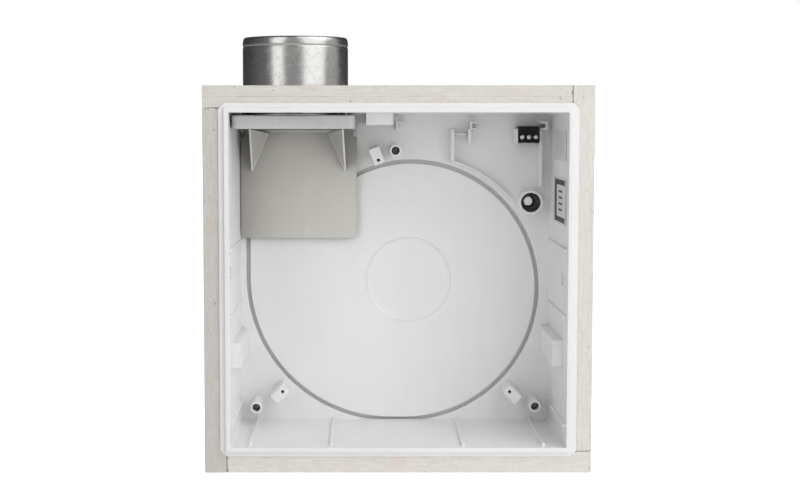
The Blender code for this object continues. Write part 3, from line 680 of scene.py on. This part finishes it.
def add_terminal_holders(mesh):
    """Ribs and clips on the back that hold the terminal block and lead the cable."""
    back = CAVITY_DEPTH + 0.001
    add_block(mesh, (0.0923, 0.0950), (0.0986, 0.1100), (0.079, back))
    add_block(mesh, (0.1118, 0.1143), (0.0649, 0.1100), (0.082, back))
    hook = ((0.1120, 0.1157), (0.1184, 0.1157), (0.1184, 0.1088), (0.1120, 0.1088))
    hook += ((0.1120, 0.1105), (0.1167, 0.1105), (0.1167, 0.1140), (0.1120, 0.1140))
    add_prism(mesh, hook, (0.0815, back), soft=SOFT_EDGE)
    add_block(mesh, (0.0429, 0.0454), (0.0850, 0.1100), (0.079, back))
    add_block(mesh, (0.0450, 0.0558), (0.1050, 0.1064), (0.086, back))
    add_block(mesh, (0.0563, 0.0590), (0.0988, 0.1098), (0.082, back))
    clip = ((0.0578, 0.1157), (0.0633, 0.1157), (0.0633, 0.1143), (0.0595, 0.1143))
    clip += ((0.0595, 0.1106), (0.0633, 0.1106), (0.0633, 0.1092), (0.0578, 0.1092))
    add_prism(mesh, clip[::-1], (0.0815, back), soft=SOFT_EDGE)
    corner = ((0.0002, 0.1157), (0.0063, 0.1157), (0.0063, 0.1141), (0.0018, 0.1141))
    corner += ((0.0018, 0.1088), (0.0002, 0.1088))
    add_prism(mesh, corner, (0.0815, back), soft=SOFT_EDGE)
    guide = arc(SEAT_ARCS[1][0], SEAT_ARCS[1][1], SEAT_ARCS[1][2] + 0.0057, 72, 42, 15)
    add_prism(mesh, band(guide, 0.0013), (0.084, back), soft=SOFT_EDGE)


def fixings():
    return [node_centre(f"casing_screw_{number}") for number in (1, 2, 3)]


def add_fixing_places(mesh):
    """Bosses for the fan insert's screws, tubes for the casing's own screws and the cable entry."""
    back = CAVITY_DEPTH + 0.001
    for x, height, degrees in INSERT_BOSSES:
        turn = math.radians(degrees)
        along = Vector((math.cos(turn), math.sin(turn)))
        across = Vector((-along.y, along.x)) * BOSS_SIZE[1] / 2
        near = Vector((x, height)) + along * (BOSS_OFFSET - BOSS_SIZE[0] / 2)
        far = Vector((x, height)) + along * (BOSS_OFFSET + BOSS_SIZE[0] / 2)
        outline = [tuple(p) for p in (near - across, far - across, far + across, near + across)]
        add_prism(mesh, outline, (BOSS_FRONT, back), soft=0.0005, steps=3)
    for spot in fixings():
        add_turned(mesh, rod(TUBE_RADIUS, BOSS_FRONT, back, 0.0004), spot, 48)
    add_turned(mesh, rod(ENTRY_RADIUS, ENTRY_FRONT, back, 0.0006), node_centre("cable_grommet"), 72)


def casing_holes():
    """All that is cut out of the casing: seat, hub, bores, wall slots and the duct opening."""
    mesh = bmesh.new()
    line = seat_line()
    mouth = SEAT_WIDTH + 2 * SOFT_EDGE
    add_lofted(mesh, [
        (band(line, mouth + 0.0004), CAVITY_DEPTH - 0.0003),
        (band(line, mouth), CAVITY_DEPTH),
        (band(line, SEAT_WIDTH), CAVITY_DEPTH + SOFT_EDGE),
        (band(line, SEAT_WIDTH - 0.0004), CAVITY_DEPTH + SEAT_DEPTH),
    ])
    rim = HUB_RADIUS + HUB_RIM
    hub = [(0.0, CAVITY_DEPTH - 0.0005), (rim, CAVITY_DEPTH - 0.0005)]
    hub += [(rim - inset, CAVITY_DEPTH + sunk) for inset, sunk in HUB_DISH]
    add_turned(mesh, hub + [(0.0, CAVITY_DEPTH + HUB_DISH[-1][1])], HUB, 144)
    for x, height, _ in INSERT_BOSSES:
        add_turned(mesh, rod(PILOT_RADIUS, BOSS_FRONT - 0.001, BOSS_FRONT + PILOT_DEPTH), (x, height), 24)
    for spot in fixings():
        profile = ((0.0, BOSS_FRONT - 0.001), (TUBE_BORE, BOSS_FRONT - 0.001), (TUBE_BORE, TUBE_FLOOR))
        profile += ((FIXING_HOLE, TUBE_FLOOR), (FIXING_HOLE, CASING_BACK + 0.001), (0.0, CASING_BACK + 0.001))
        add_turned(mesh, profile, spot, 32)
    bore = rod(half_width("cable_grommet") + GAP, ENTRY_FRONT - 0.001, CASING_BACK + 0.001)
    add_turned(mesh, bore, node_centre("cable_grommet"), 72)
    add_block(mesh, (-OPENING_X - 0.004, -OPENING_X + 0.0005), (0.0008, 0.0089), (0.007, 0.017), 0.0)
    add_block(mesh, (OPENING_X - 0.0008, OPENING_X + 0.004), (-0.0060, 0.0032), (0.021, 0.030), 0.0)
    bore = rod(SPIGOT_RADIUS + 0.0004, OPENING_H - 0.003, OPENING_H + 0.006)
    add_turned(mesh, bore, plan_centre("spigot_mastic"), 96, "height")
    return thing_of("casing_holes", mesh)


def make_casing(material):
    mesh = bmesh.new()
    add_lofted(mesh, casing_skin())
    casing = thing_of("casing_moulding", mesh)
    features = bmesh.new()
    add_wall_ribs(features)
    add_lugs(features)
    add_terminal_holders(features)
    add_fixing_places(features)
    shape_with(casing, thing_of("casing_features", features), "UNION")
    shape_with(casing, casing_holes(), "DIFFERENCE")
    finish_piece(casing, material, BODY, ["casing"], angle=35)


# Boards


def make_board(node, material):
    low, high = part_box(node)
    x, height, depth = node_spans(node)
    mesh = bmesh.new()
    add_block(mesh, x, height, depth, 0.0006)
    board = thing_of(node + "_panel", mesh)
    holes = bmesh.new()
    if node == "board_top":
        bore = rod(half_width("spigot_mastic") + GAP, height[0] - 0.002, height[1] + 0.002)
        add_turned(holes, bore, plan_centre("spigot_mastic"), 96, "height")
    if node == "board_back":
        bore = rod(ENTRY_RADIUS, depth[0] - 0.002, depth[1] + 0.002)
        add_turned(holes, bore, node_centre("cable_grommet"), 48)
    for name in frame["nodes"]:
        if name.startswith("jacket_screw_"):
            first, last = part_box(name)
            if all(last[k] > low[k] - 0.001 and first[k] < high[k] + 0.001 for k in range(3)):
                add_screw_hole(holes, name)
    shape_with(board, thing_of("board_holes", holes), "DIFFERENCE")
    finish_piece(board, material, BODY, [node])


def screw_home(name):
    """Matrix that carries a screw from the origin, where it points up, to its place."""
    low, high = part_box(name)
    size = high - low
    axis = max(range(3), key=lambda k: size[k])
    middle = (low + high) / 2
    whole_low, whole_high = cad_box
    jacket_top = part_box("board_top")[1].z
    faces = ((whole_low[axis], low[axis]), (jacket_top if axis == 2 else whole_high[axis], high[axis]))
    at_low = abs(faces[0][0] - faces[0][1]) < abs(faces[1][0] - faces[1][1])
    head = middle.copy()
    head[axis] = faces[0][0] if at_low else faces[1][0]
    direction = Vector([(1.0 if at_low else -1.0) if k == axis else 0.0 for k in range(3)])
    turn = Vector((0.0, 0.0, 1.0)).rotation_difference(direction).to_matrix().to_4x4()
    return Matrix.Translation(head) @ turn


def add_screw_hole(mesh, name):
    profile = ((0.0, -0.001), (0.0043, -0.001), (0.0043, 0.0004))
    profile += ((0.0022, 0.0030), (0.0022, 0.010), (0.0, 0.010))
    hole = bmesh.new()
    add_turned(hole, profile, (0.0, 0.0), 24, "height")
    place = screw_home(name) @ Matrix.Translation(-world(0.0, 0.0, 0.0))
    bmesh.ops.transform(hole, matrix=place, verts=hole.verts)
    data = bpy.data.meshes.new("hole")
    hole.to_mesh(data)
    hole.free()
    mesh.from_mesh(data)
    bpy.data.meshes.remove(data)


def make_jacket_screws(material):
    """Bugle-head board screws with a cross recess, alike but for their place."""
    head = ((0.0, 0.0004), (0.0036, 0.0003), (0.0040, 0.0005), (0.0037, 0.0009), (0.0026, 0.0020))
    head += ((0.0020, 0.0034), (0.0017, 0.0060), (0.0017, 0.0400), (0.0, 0.0420))
    mesh = bmesh.new()
    add_turned(mesh, head, (0.0, 0.0), 32, "height")
    screw = thing_of("board_screw", mesh)
    recess = bmesh.new()
    for wide, narrow in ((0.0017, 0.0004), (0.0004, 0.0017)):
        add_prism(recess, rectangle((-wide, wide), (-narrow, narrow)), (-0.0005, 0.0019), "top")
    shape_with(screw, thing_of("screw_recess", recess), "DIFFERENCE")
    screw.data.transform(Matrix.Translation(-world(0.0, 0.0, 0.0)))
    data = screw.data
    bpy.data.objects.remove(screw)
    for name in sorted(n for n in frame["nodes"] if n.startswith("jacket_screw_")):
        piece = bpy.data.objects.new(name.replace("jacket", "board"), data)
        bpy.context.scene.collection.objects.link(piece)
        piece.matrix_world = screw_home(name)
        finish_piece(piece, material, BODY, [name], angle=30)


# Outlet


def make_spigot(material, rim_reflection_material, joint_material):
    _, (under, top), _ = node_spans("duct_spigot")
    _, mh, _ = node_spans("spigot_mastic")
    centre = plan_centre("spigot_mastic")
    outer, inner = SPIGOT_RADIUS, SPIGOT_RADIUS - 0.001
    flange = half_width("duct_spigot")
    profile = [
        (inner, under), (flange - 0.0002, under), (flange, under + 0.0002), (flange, under + 0.0005),
        (flange - 0.0002, under + 0.0007), (outer + 0.0006, under + 0.0007), (outer, under + 0.0013),
        (outer, top - 0.0078), (outer - 0.0004, top - 0.0073), (outer - 0.0005, top - 0.0069),
        (outer - 0.0004, top - 0.0065), (outer, top - 0.0060), (outer, top - 0.0048),
    ]
    for k in range(1, 7):
        turn = math.radians(15 * k)
        profile.append((outer - 0.0015 * (1 - math.cos(turn)), top - 0.0048 + 0.0048 * math.sin(turn)))
    profile += [(inner - 0.0016, top), (inner - 0.0018, top - 0.0005), (inner - 0.0008, top - 0.0040),
                (inner, top - 0.0052)]
    mesh = bmesh.new()
    add_turned(mesh, profile, centre, 144, "height")
    tube = thing_of("spigot_tube", mesh)
    finish_piece(tube, material, BODY, ["duct_spigot"], angle=50)
    tube.data.materials.append(rim_reflection_material)
    # The top rim takes the dark material: a painted dark reflection along the rolled edge
    for face in tube.data.polygons:
        face.material_index = int(inside(face.center)[1] > top - PAINTED_RIM_BAND)
    ring = half_width("spigot_mastic")
    bead = [(outer + 0.0002, mh[0]), (ring, mh[0]), (ring, mh[1] - 0.0006), (ring - 0.0008, mh[1])]
    bead += [(outer + 0.0012, mh[1]), (outer + 0.0002, mh[1] - 0.0004)]
    mesh = bmesh.new()
    add_turned(mesh, bead, centre, 144, "height")
    finish_piece(thing_of("spigot_seal", mesh), joint_material, BODY, ["spigot_mastic"])


def make_outlet_frame(material):
    """A shallow tray with a round outlet in its floor and two ears for the hinge pin."""
    frame_x, height, depth = node_spans("outlet_frame")
    x = (frame_x[0], frame_x[1] - FRAME_EAR_PROUD)
    axis_h, axis_depth = hinge_axis()
    low, high = axis_h + 0.0017, height[1]
    back = axis_depth - 0.0021
    mesh = bmesh.new()
    add_prism(mesh, rectangle(x, (depth[0], back), FRAME_CORNER, 10), (low, high), "top", 0.0007, 3)
    outlet = thing_of("outlet_tray", mesh)
    ears = bmesh.new()
    outline = ((back - 0.0025, low + 0.0006), (back + 0.0003, low + 0.0006), (back + 0.0003, axis_h - 0.0018))
    outline += ((back + 0.0039, axis_h - 0.0018), (back + 0.0039, low + 0.0034))
    outline += ((back - 0.0025, low + 0.0034),)
    for start in (x[0] + 0.0004, frame_x[1] - FRAME_EAR):
        add_prism(ears, outline, (start, start + FRAME_EAR), "side")
    shape_with(outlet, thing_of("ears", ears), "UNION")
    holes = bmesh.new()
    inner_x = (x[0] + FRAME_RIM, x[1] - FRAME_RIM)
    inner_depth = (depth[0] + FRAME_RIM, back - FRAME_RIM)
    floor = low + FRAME_FLOOR
    add_prism(holes, rectangle(inner_x, inner_depth, 0.003, 6), (floor, high + 0.001), "top")
    middle = (sum(x) / 2, (depth[0] + back) / 2)
    rim = ((0.0, low - 0.001), (OUTLET_RADIUS + 0.0015, low - 0.001), (OUTLET_RADIUS + 0.0006, low))
    rim += ((OUTLET_RADIUS, low + 0.0006), (OUTLET_RADIUS, floor + 0.001), (0.0, floor + 0.001))
    add_turned(holes, rim, middle, 96, "height")
    for number in (1, 2, 3, 4):
        spot = plan_centre(f"frame_screw_{number}")
        add_turned(holes, rod(SCREW_SINK, low - 0.001, low + 0.0015), spot, 24, "height")
    shape_with(outlet, thing_of("frame_holes", holes), "DIFFERENCE")
    finish_piece(outlet, material, BODY, ["outlet_frame"])


# Flap and webs


def make_flap(material):
    """A thin plate that hangs from a barrel on the hinge pin."""
    x, height, _ = node_spans("shutoff_flap")
    axis_h, axis_depth = hinge_axis()
    shoulder, top = axis_h - 0.005, axis_h - 0.0013
    neck = (x[0] + 0.0027, x[1] - 0.0027)
    lower = [p for p in rectangle(x, (height[0], shoulder), 0.005, 10) if p[1] < (height[0] + shoulder) / 2]
    right = [p for p in lower if p[0] > sum(x) / 2]
    left = [p for p in lower if p[0] <= sum(x) / 2]
    upper = [(x[1], shoulder), (neck[1], shoulder), (neck[1], top), (neck[0], top)]
    upper += [(neck[0], shoulder), (x[0], shoulder)]
    mesh = bmesh.new()
    thickness = (axis_depth - FLAP_HALF, axis_depth + FLAP_HALF)
    add_prism(mesh, left + right + upper, thickness, soft=SOFT_EDGE, steps=3)
    flap = thing_of("flap_plate", mesh)
    barrel = bmesh.new()
    add_turned(barrel, rod(BARREL_RADIUS, neck[0], neck[1]), (axis_depth, axis_h), 32, "x")
    shape_with(flap, thing_of("barrel", barrel), "UNION")
    bore = bmesh.new()
    add_turned(bore, rod(BARREL_BORE, x[0], x[1]), (axis_depth, axis_h), 32, "x")
    shape_with(flap, thing_of("bore", bore), "DIFFERENCE")
    finish_piece(flap, material, FLAP_BODY, ["shutoff_flap"])


def add_tube(mesh, points, radius, sides=10):
    """A closed round bead along world points that lie on a straight line."""
    along = (points[-1] - points[0]).normalized()
    first = along.orthogonal().normalized() * radius
    second = along.cross(first)
    rings = []
    for point in points:
        turns = (2 * math.pi * k / sides for k in range(sides))
        rings.append([mesh.verts.new(point + first * math.cos(t) + second * math.sin(t)) for t in turns])
    for here, there in zip(rings, rings[1:]):
        for k in range(sides):
            j = (k + 1) % sides
            mesh.faces.new((here[k], here[j], there[j], there[k]))
    mesh.faces.new(rings[0][::-1])
    mesh.faces.new(rings[-1])


def make_webs(material, bead_highlight_material):
    """Thin soft side webs with a bead along their free edge and their seam."""
    middle = sum(node_spans("shutoff_flap")[0]) / 2
    for name, side in (("left", -1), ("right", 1)):
        front, rear, foot = [world(middle + side * x, height, depth) for x, height, depth in WEB_CORNERS]
        mesh = bmesh.new()
        rows = []
        for k in range(WEB_ROWS + 1):
            first, last = front.lerp(foot, k / WEB_ROWS), rear.lerp(foot, k / WEB_ROWS)
            count = WEB_ROWS - k
            rows.append([mesh.verts.new(first.lerp(last, j / max(count, 1))) for j in range(count + 1)])
        for row, following in zip(rows, rows[1:]):
            for j in range(len(following)):
                mesh.faces.new((row[j], row[j + 1], following[j]))
                if j:
                    mesh.faces.new((following[j - 1], row[j], following[j]))
        bmesh.ops.recalc_face_normals(mesh, faces=mesh.faces)
        bmesh.ops.solidify(mesh, geom=mesh.faces[:], thickness=WEB_THICKNESS)
        film_faces = len(mesh.faces)
        for start in (front, rear):
            lift = Vector((0.0, -0.0003, 0.0))
            spots = [start.lerp(foot, k / WEB_ROWS) + lift for k in range(WEB_ROWS + 1)]
            add_tube(mesh, spots, WEB_BEAD)
        web = thing_of(f"web_{name}_film", mesh)
        finish_piece(web, material, None, [f"flap_web_{name}"])
        # The beads take a lighter grey than the film of the same moulding: painted highlight along the edges
        web.data.materials.append(bead_highlight_material)
        for face in web.data.polygons[film_faces:]:
            face.material_index = 1
        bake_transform(web)


# Cable entry, terminals and labels


def make_cable_entry(black, light):
    _, _, (start, end) = node_spans("cable_grommet")
    centre = node_centre("cable_grommet")
    outer = half_width("cable_grommet")
    hole = 0.0035
    _, _, (plug_front, _) = node_spans("grommet_plug")
    rim = [(outer - 0.0017, start + 0.0012), (outer - 0.0014, start + 0.0004), (outer - 0.0008, start)]
    rim += [(outer - 0.0002, start + 0.0003), (outer, start + 0.0009), (outer, end)]
    cup = [(hole, end), (hole, plug_front + 0.0016), (hole + 0.0004, plug_front + 0.0013)]
    cup += [(outer - 0.0030, plug_front + 0.0013), (outer - 0.0024, plug_front + 0.0006)]
    cup += [(outer - 0.0021, start + 0.0030)]
    mesh = bmesh.new()
    add_turned(mesh, rim + cup, centre, 96)
    finish_piece(thing_of("entry_grommet", mesh), black, BODY, ["cable_grommet"], angle=50)
    _, _, (front, end) = node_spans("grommet_plug")
    radius = half_width("grommet_plug")
    face = [(0.0, front + 0.0004), (0.0007, front + 0.0004), (0.0009, front + 0.0001), (0.0011, front)]
    face += [(0.0014, front + 0.0001), (0.0016, front + 0.0004), (0.0022, front + 0.0004)]
    face += [(0.0024, front + 0.0001), (0.0027, front), (radius - 0.0003, front + 0.0001)]
    mesh = bmesh.new()
    add_turned(mesh, face + [(radius, front + 0.0005), (radius, end), (0.0, end)], centre, 48)
    finish_piece(thing_of("entry_plug", mesh), light, BODY, ["grommet_plug"])


def make_terminals(black, steel):
    x, height, depth = node_spans("terminal_block")
    front = depth[0]
    mesh = bmesh.new()
    add_block(mesh, x, height, depth, 0.00035)
    block = thing_of("terminal_body", mesh)
    wells = bmesh.new()
    for number in (1, 2, 3):
        name = f"terminal_screw_{number}"
        spot = node_centre(name)
        _, _, (near, far) = node_spans(name)
        radius = half_width(name) + 0.0002
        well = radius + 0.0001
        profile = ((0.0, front - 0.001), (well + 0.0003, front - 0.001), (well + 0.0003, front))
        profile += ((well, front + 0.0003), (well, front + 0.0045), (0.0, front + 0.0045))
        add_turned(wells, profile, spot, 32)
        entry = (spot[0] - 0.0016, spot[0] + 0.0016)
        rise = (height[0] - 0.001, height[0] + 0.002)
        add_block(wells, entry, rise, (front + 0.0055, depth[1] - 0.002), 0.0)
        head = [(0.0, near), (radius - 0.0006, near + 0.0001), (radius - 0.0002, near + 0.0003)]
        head += [(radius, near + 0.0007), (radius, near + 0.0016), (0.0012, near + 0.0016)]
        mesh = bmesh.new()
        add_turned(mesh, head + [(0.0012, far), (0.0, far)], spot, 32)
        screw = thing_of(f"clamp_screw_{number}", mesh)
        slot = bmesh.new()
        turn = math.radians((35, 60, 40)[number - 1])
        along = Vector((math.cos(turn), math.sin(turn))) * 0.0022
        across = Vector((-along.y, along.x)).normalized() * 0.00022
        spots = (-along - across, along - across, along + across, -along + across)
        add_prism(slot, [(spot[0] + p.x, spot[1] + p.y) for p in spots], (near - 0.0005, near + 0.0006))
        shape_with(screw, thing_of("slot", slot), "DIFFERENCE")
        finish_piece(screw, steel, BODY, [name])
    shape_with(block, thing_of("wells", wells), "DIFFERENCE")
    finish_piece(block, black, BODY, ["terminal_block"])


def label_marks(node):
    """Plain printed areas of a sticker: a border with two bars, or ruled lines."""
    _, height, depth = node_spans(node)
    low_y, high_y = FRONT + depth[0], FRONT + depth[1]
    low_z, high_z = CASING_MIDDLE.z + height[0], CASING_MIDDLE.z + height[1]
    rules = []
    if node == "rating_label":
        wide = (low_y + 0.004, high_y - 0.005)
        rules.append((wide, (high_z - 0.0055, high_z - 0.0015)))
        rules.append((wide, (low_z + 0.0015, low_z + 0.0055)))
        rules.append(((high_y - 0.015, high_y - 0.005), (low_z + 0.0015, high_z - 0.0015)))
        for k in range(4):
            middle = low_z + 0.0100 + 0.0046 * k
            rules.append(((low_y + 0.016, high_y - 0.024), (middle, middle + 0.0016)))
    else:
        for k in range(7):
            start = low_y + 0.008 + 0.0060 * k
            rules.append(((start, start + 0.0018), (low_z + 0.002 + 0.0020 * (k % 3), high_z - 0.002)))
    return rules


def make_labels():
    inks = {"rating_label": (0.045, 0.045, 0.050), "wiring_label": (0.46, 0.46, 0.49)}
    for node, ink in inks.items():
        _, height, depth = node_spans(node)
        mesh = bmesh.new()
        add_prism(mesh, rectangle(depth, height, 0.0022, 6), (-0.0005, -0.0003), "side")
        label = thing_of(node.replace("label", "sticker"), mesh)
        for corner in label.data.vertices:
            back = (corner.co.y - FRONT) / CAVITY_DEPTH
            corner.co.x += OPENING_X - DRAFT * back
        film = sticker(node.replace("label", "film"), label_marks(node), ink)
        finish_piece(label, film, BODY, [node])


def finish_small_parts(dark, steel):
    """CAD pieces whose shape is right take a finished material."""
    clamp_brass = plated("clamp_brass", (0.62, 0.46, 0.22), (0.38, 0.27, 0.13), 0.34)
    for name, thing in frame["nodes"].items():
        material = None
        if name.startswith(("casing_screw", "casing_washer", "frame_screw")):
            material = dark
        if name.startswith("terminal_clamp"):
            material = clamp_brass
        if name == "hinge_pin":
            material = steel
        if material:
            thing.material_slots[0].material = material


# Stage


def make_floor():
    mesh = bmesh.new()
    bmesh.ops.create_grid(mesh, x_segments=24, y_segments=24, size=FLOOR_SIZE)
    floor = thing_of("floor", mesh)
    finish = Finish("floor_paper", Roughness=0.75)
    tone = finish.mix(finish.noise(0.9, 2.0), (0.86, 0.86, 0.86), (0.89, 0.89, 0.89))
    finish.colour(tone)
    finish.shader.inputs["Emission Color"].default_value = (1.0, 1.0, 1.0, 1.0)
    seen = finish.nodes.new("ShaderNodeLightPath").outputs["Is Camera Ray"]
    glow = finish.grey(seen, 0.0, 1.0, FLOOR_GLOW, FLOOR_WHITE)
    finish.link(glow, finish.shader.inputs["Emission Strength"])
    finish.relief((finish.noise(0.004, 3.0), 0.00005))
    floor.data.materials.append(finish.material)


def make_lamp(name, spot, size, power):
    data = bpy.data.lights.new(name, "AREA")
    data.shape = "RECTANGLE"
    data.size, data.size_y = size
    data.energy = power
    lamp = bpy.data.objects.new(name, data)
    bpy.context.scene.collection.objects.link(lamp)
    lamp.location = spot
    lamp.rotation_euler = (Vector(LAMP_TARGET) - Vector(spot)).to_track_quat("-Z", "Y").to_euler()
    lamp.visible_camera = False


def make_world():
    """White surroundings, darker on the viewer's side as in a studio."""
    surroundings = bpy.data.worlds.new("studio")
    surroundings.use_nodes = True
    bpy.context.scene.world = surroundings
    nodes, links = surroundings.node_tree.nodes, surroundings.node_tree.links
    backdrop = nodes["Background"]
    backdrop.inputs["Color"].default_value = (1.0, 1.0, 1.0, 1.0)
    direction = nodes.new("ShaderNodeTexCoord").outputs["Generated"]
    split = nodes.new("ShaderNodeSeparateXYZ")
    links.new(direction, split.inputs["Vector"])
    spread = nodes.new("ShaderNodeMapRange")
    spread.interpolation_type = "SMOOTHSTEP"
    ends = (*AMBIENT_TURN, AMBIENT_FRONT, AMBIENT_BACK)
    for socket, value in zip(("From Min", "From Max", "To Min", "To Max"), ends):
        spread.inputs[socket].default_value = value
    links.new(split.outputs["Y"], spread.inputs["Value"])
    seen = nodes.new("ShaderNodeLightPath").outputs["Is Camera Ray"]
    strength = nodes.new("ShaderNodeMix")
    links.new(seen, strength.inputs["Factor"])
    links.new(spread.outputs["Result"], strength.inputs["A"])
    strength.inputs["B"].default_value = 1.0
    links.new(strength.outputs["Result"], backdrop.inputs["Strength"])


def make_camera():
    data = bpy.data.cameras.new("camera")
    data.sensor_width = 36.0
    data.lens = CAMERA_LENS
    data.shift_x, data.shift_y = CAMERA_SHIFT
    data.clip_start, data.clip_end = 0.01, 50.0
    camera = bpy.data.objects.new("camera", data)
    bpy.context.scene.collection.objects.link(camera)
    camera.location = CAMERA_SPOT
    camera.rotation_euler = (math.radians(90 - CAMERA_TILT), 0.0, 0.0)
    bpy.context.scene.camera = camera


def make_stage():
    bpy.context.scene.view_settings.view_transform = "Standard"
    bpy.context.scene.view_settings.look = "None"
    make_floor()
    make_world()
    make_camera()
    for name, spot, size, power in LAMPS:
        make_lamp(name, spot, size, power)


def main():
    low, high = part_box("board_top")
    bottom_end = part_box("board_bottom")[0].x
    left_end, right_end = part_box("board_left")[1].z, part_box("board_right")[0].z
    boards = {
        "board_top": fire_board("fire_board_laminated", "z", 0.96, (low.z + high.z) / 2, ("X", high.x)),
        "board_bottom": fire_board("fire_board_flat", "z", glued=("X", bottom_end)),
        # The left board is a darker copy of the same board: painted shade, as the light falls from the right
        "board_left": fire_board("fire_board_left", "x", 0.83, glued=("Z", left_end)),
        "board_right": fire_board("fire_board_right", "x", glued=("Z", right_end)),
        "board_back": fire_board("fire_board_back", "y"),
    }
    for node, material in boards.items():
        make_board(node, material)
    # The last colour is painted shade for the casing's corners, grooves and recesses
    white = moulded("casing_white", (0.866, 0.866, 0.865), (0.852, 0.852, 0.850), 0.40, (0.50, 0.495, 0.485))
    make_casing(white)
    dark = plated("dark_screw", (0.22, 0.21, 0.19), (0.12, 0.11, 0.10), 0.42)
    make_jacket_screws(dark)
    # Dark metal for the spigot's top rim: a painted dark reflection
    painted_rim_reflection = plated("spigot_rim_painted_reflection", (0.13, 0.13, 0.13), (0.07, 0.07, 0.07), 0.50)
    make_spigot(galvanised(), painted_rim_reflection, mastic())
    make_outlet_frame(moulded("frame_plastic_grey", (0.560, 0.564, 0.562), (0.530, 0.534, 0.532), 0.30))
    greys = ((0.655, 0.642, 0.600), (0.630, 0.616, 0.574))
    # Painted shadow: the flap is darkened towards this colour under the outlet bar and beside its webs
    tone_and_painted_shade = (0.33, 0.318, 0.290)
    make_flap(moulded("flap_plastic_grey", *greys, 0.42, tone_and_painted_shade, FLAP_PAINTED_SHADOW_REACH, (0.35, 1.0)))
    # A lighter grey for the web beads: painted highlight along their edges
    bead = moulded("web_bead_painted_highlight", (0.86, 0.85, 0.82), (0.80, 0.79, 0.76), 0.40)
    make_webs(moulded("web_film_grey", (0.55, 0.54, 0.50), (0.51, 0.50, 0.46), 0.50), bead)
    steel = plated("plated_steel", (0.86, 0.86, 0.85), (0.62, 0.61, 0.58), 0.26)
    # The plug glows a little: painted light, so it shows bright deep inside the black grommet
    plug = moulded("plug_white_painted_glow", (0.90, 0.90, 0.89), (0.85, 0.85, 0.84), 0.35, Emission_Strength=0.35)
    make_cable_entry(rubber(), plug)
    blacks = ((0.007, 0.007, 0.007), (0.012, 0.012, 0.012))
    black = moulded("terminal_black", *blacks, 0.50, Specular_IOR_Level=0.25)
    nickel = plated("nickel_screw", (0.95, 0.95, 0.94), (0.84, 0.84, 0.82), 0.50)
    make_terminals(black, nickel)
    make_labels()
    finish_small_parts(dark, steel)
    make_stage()


main()
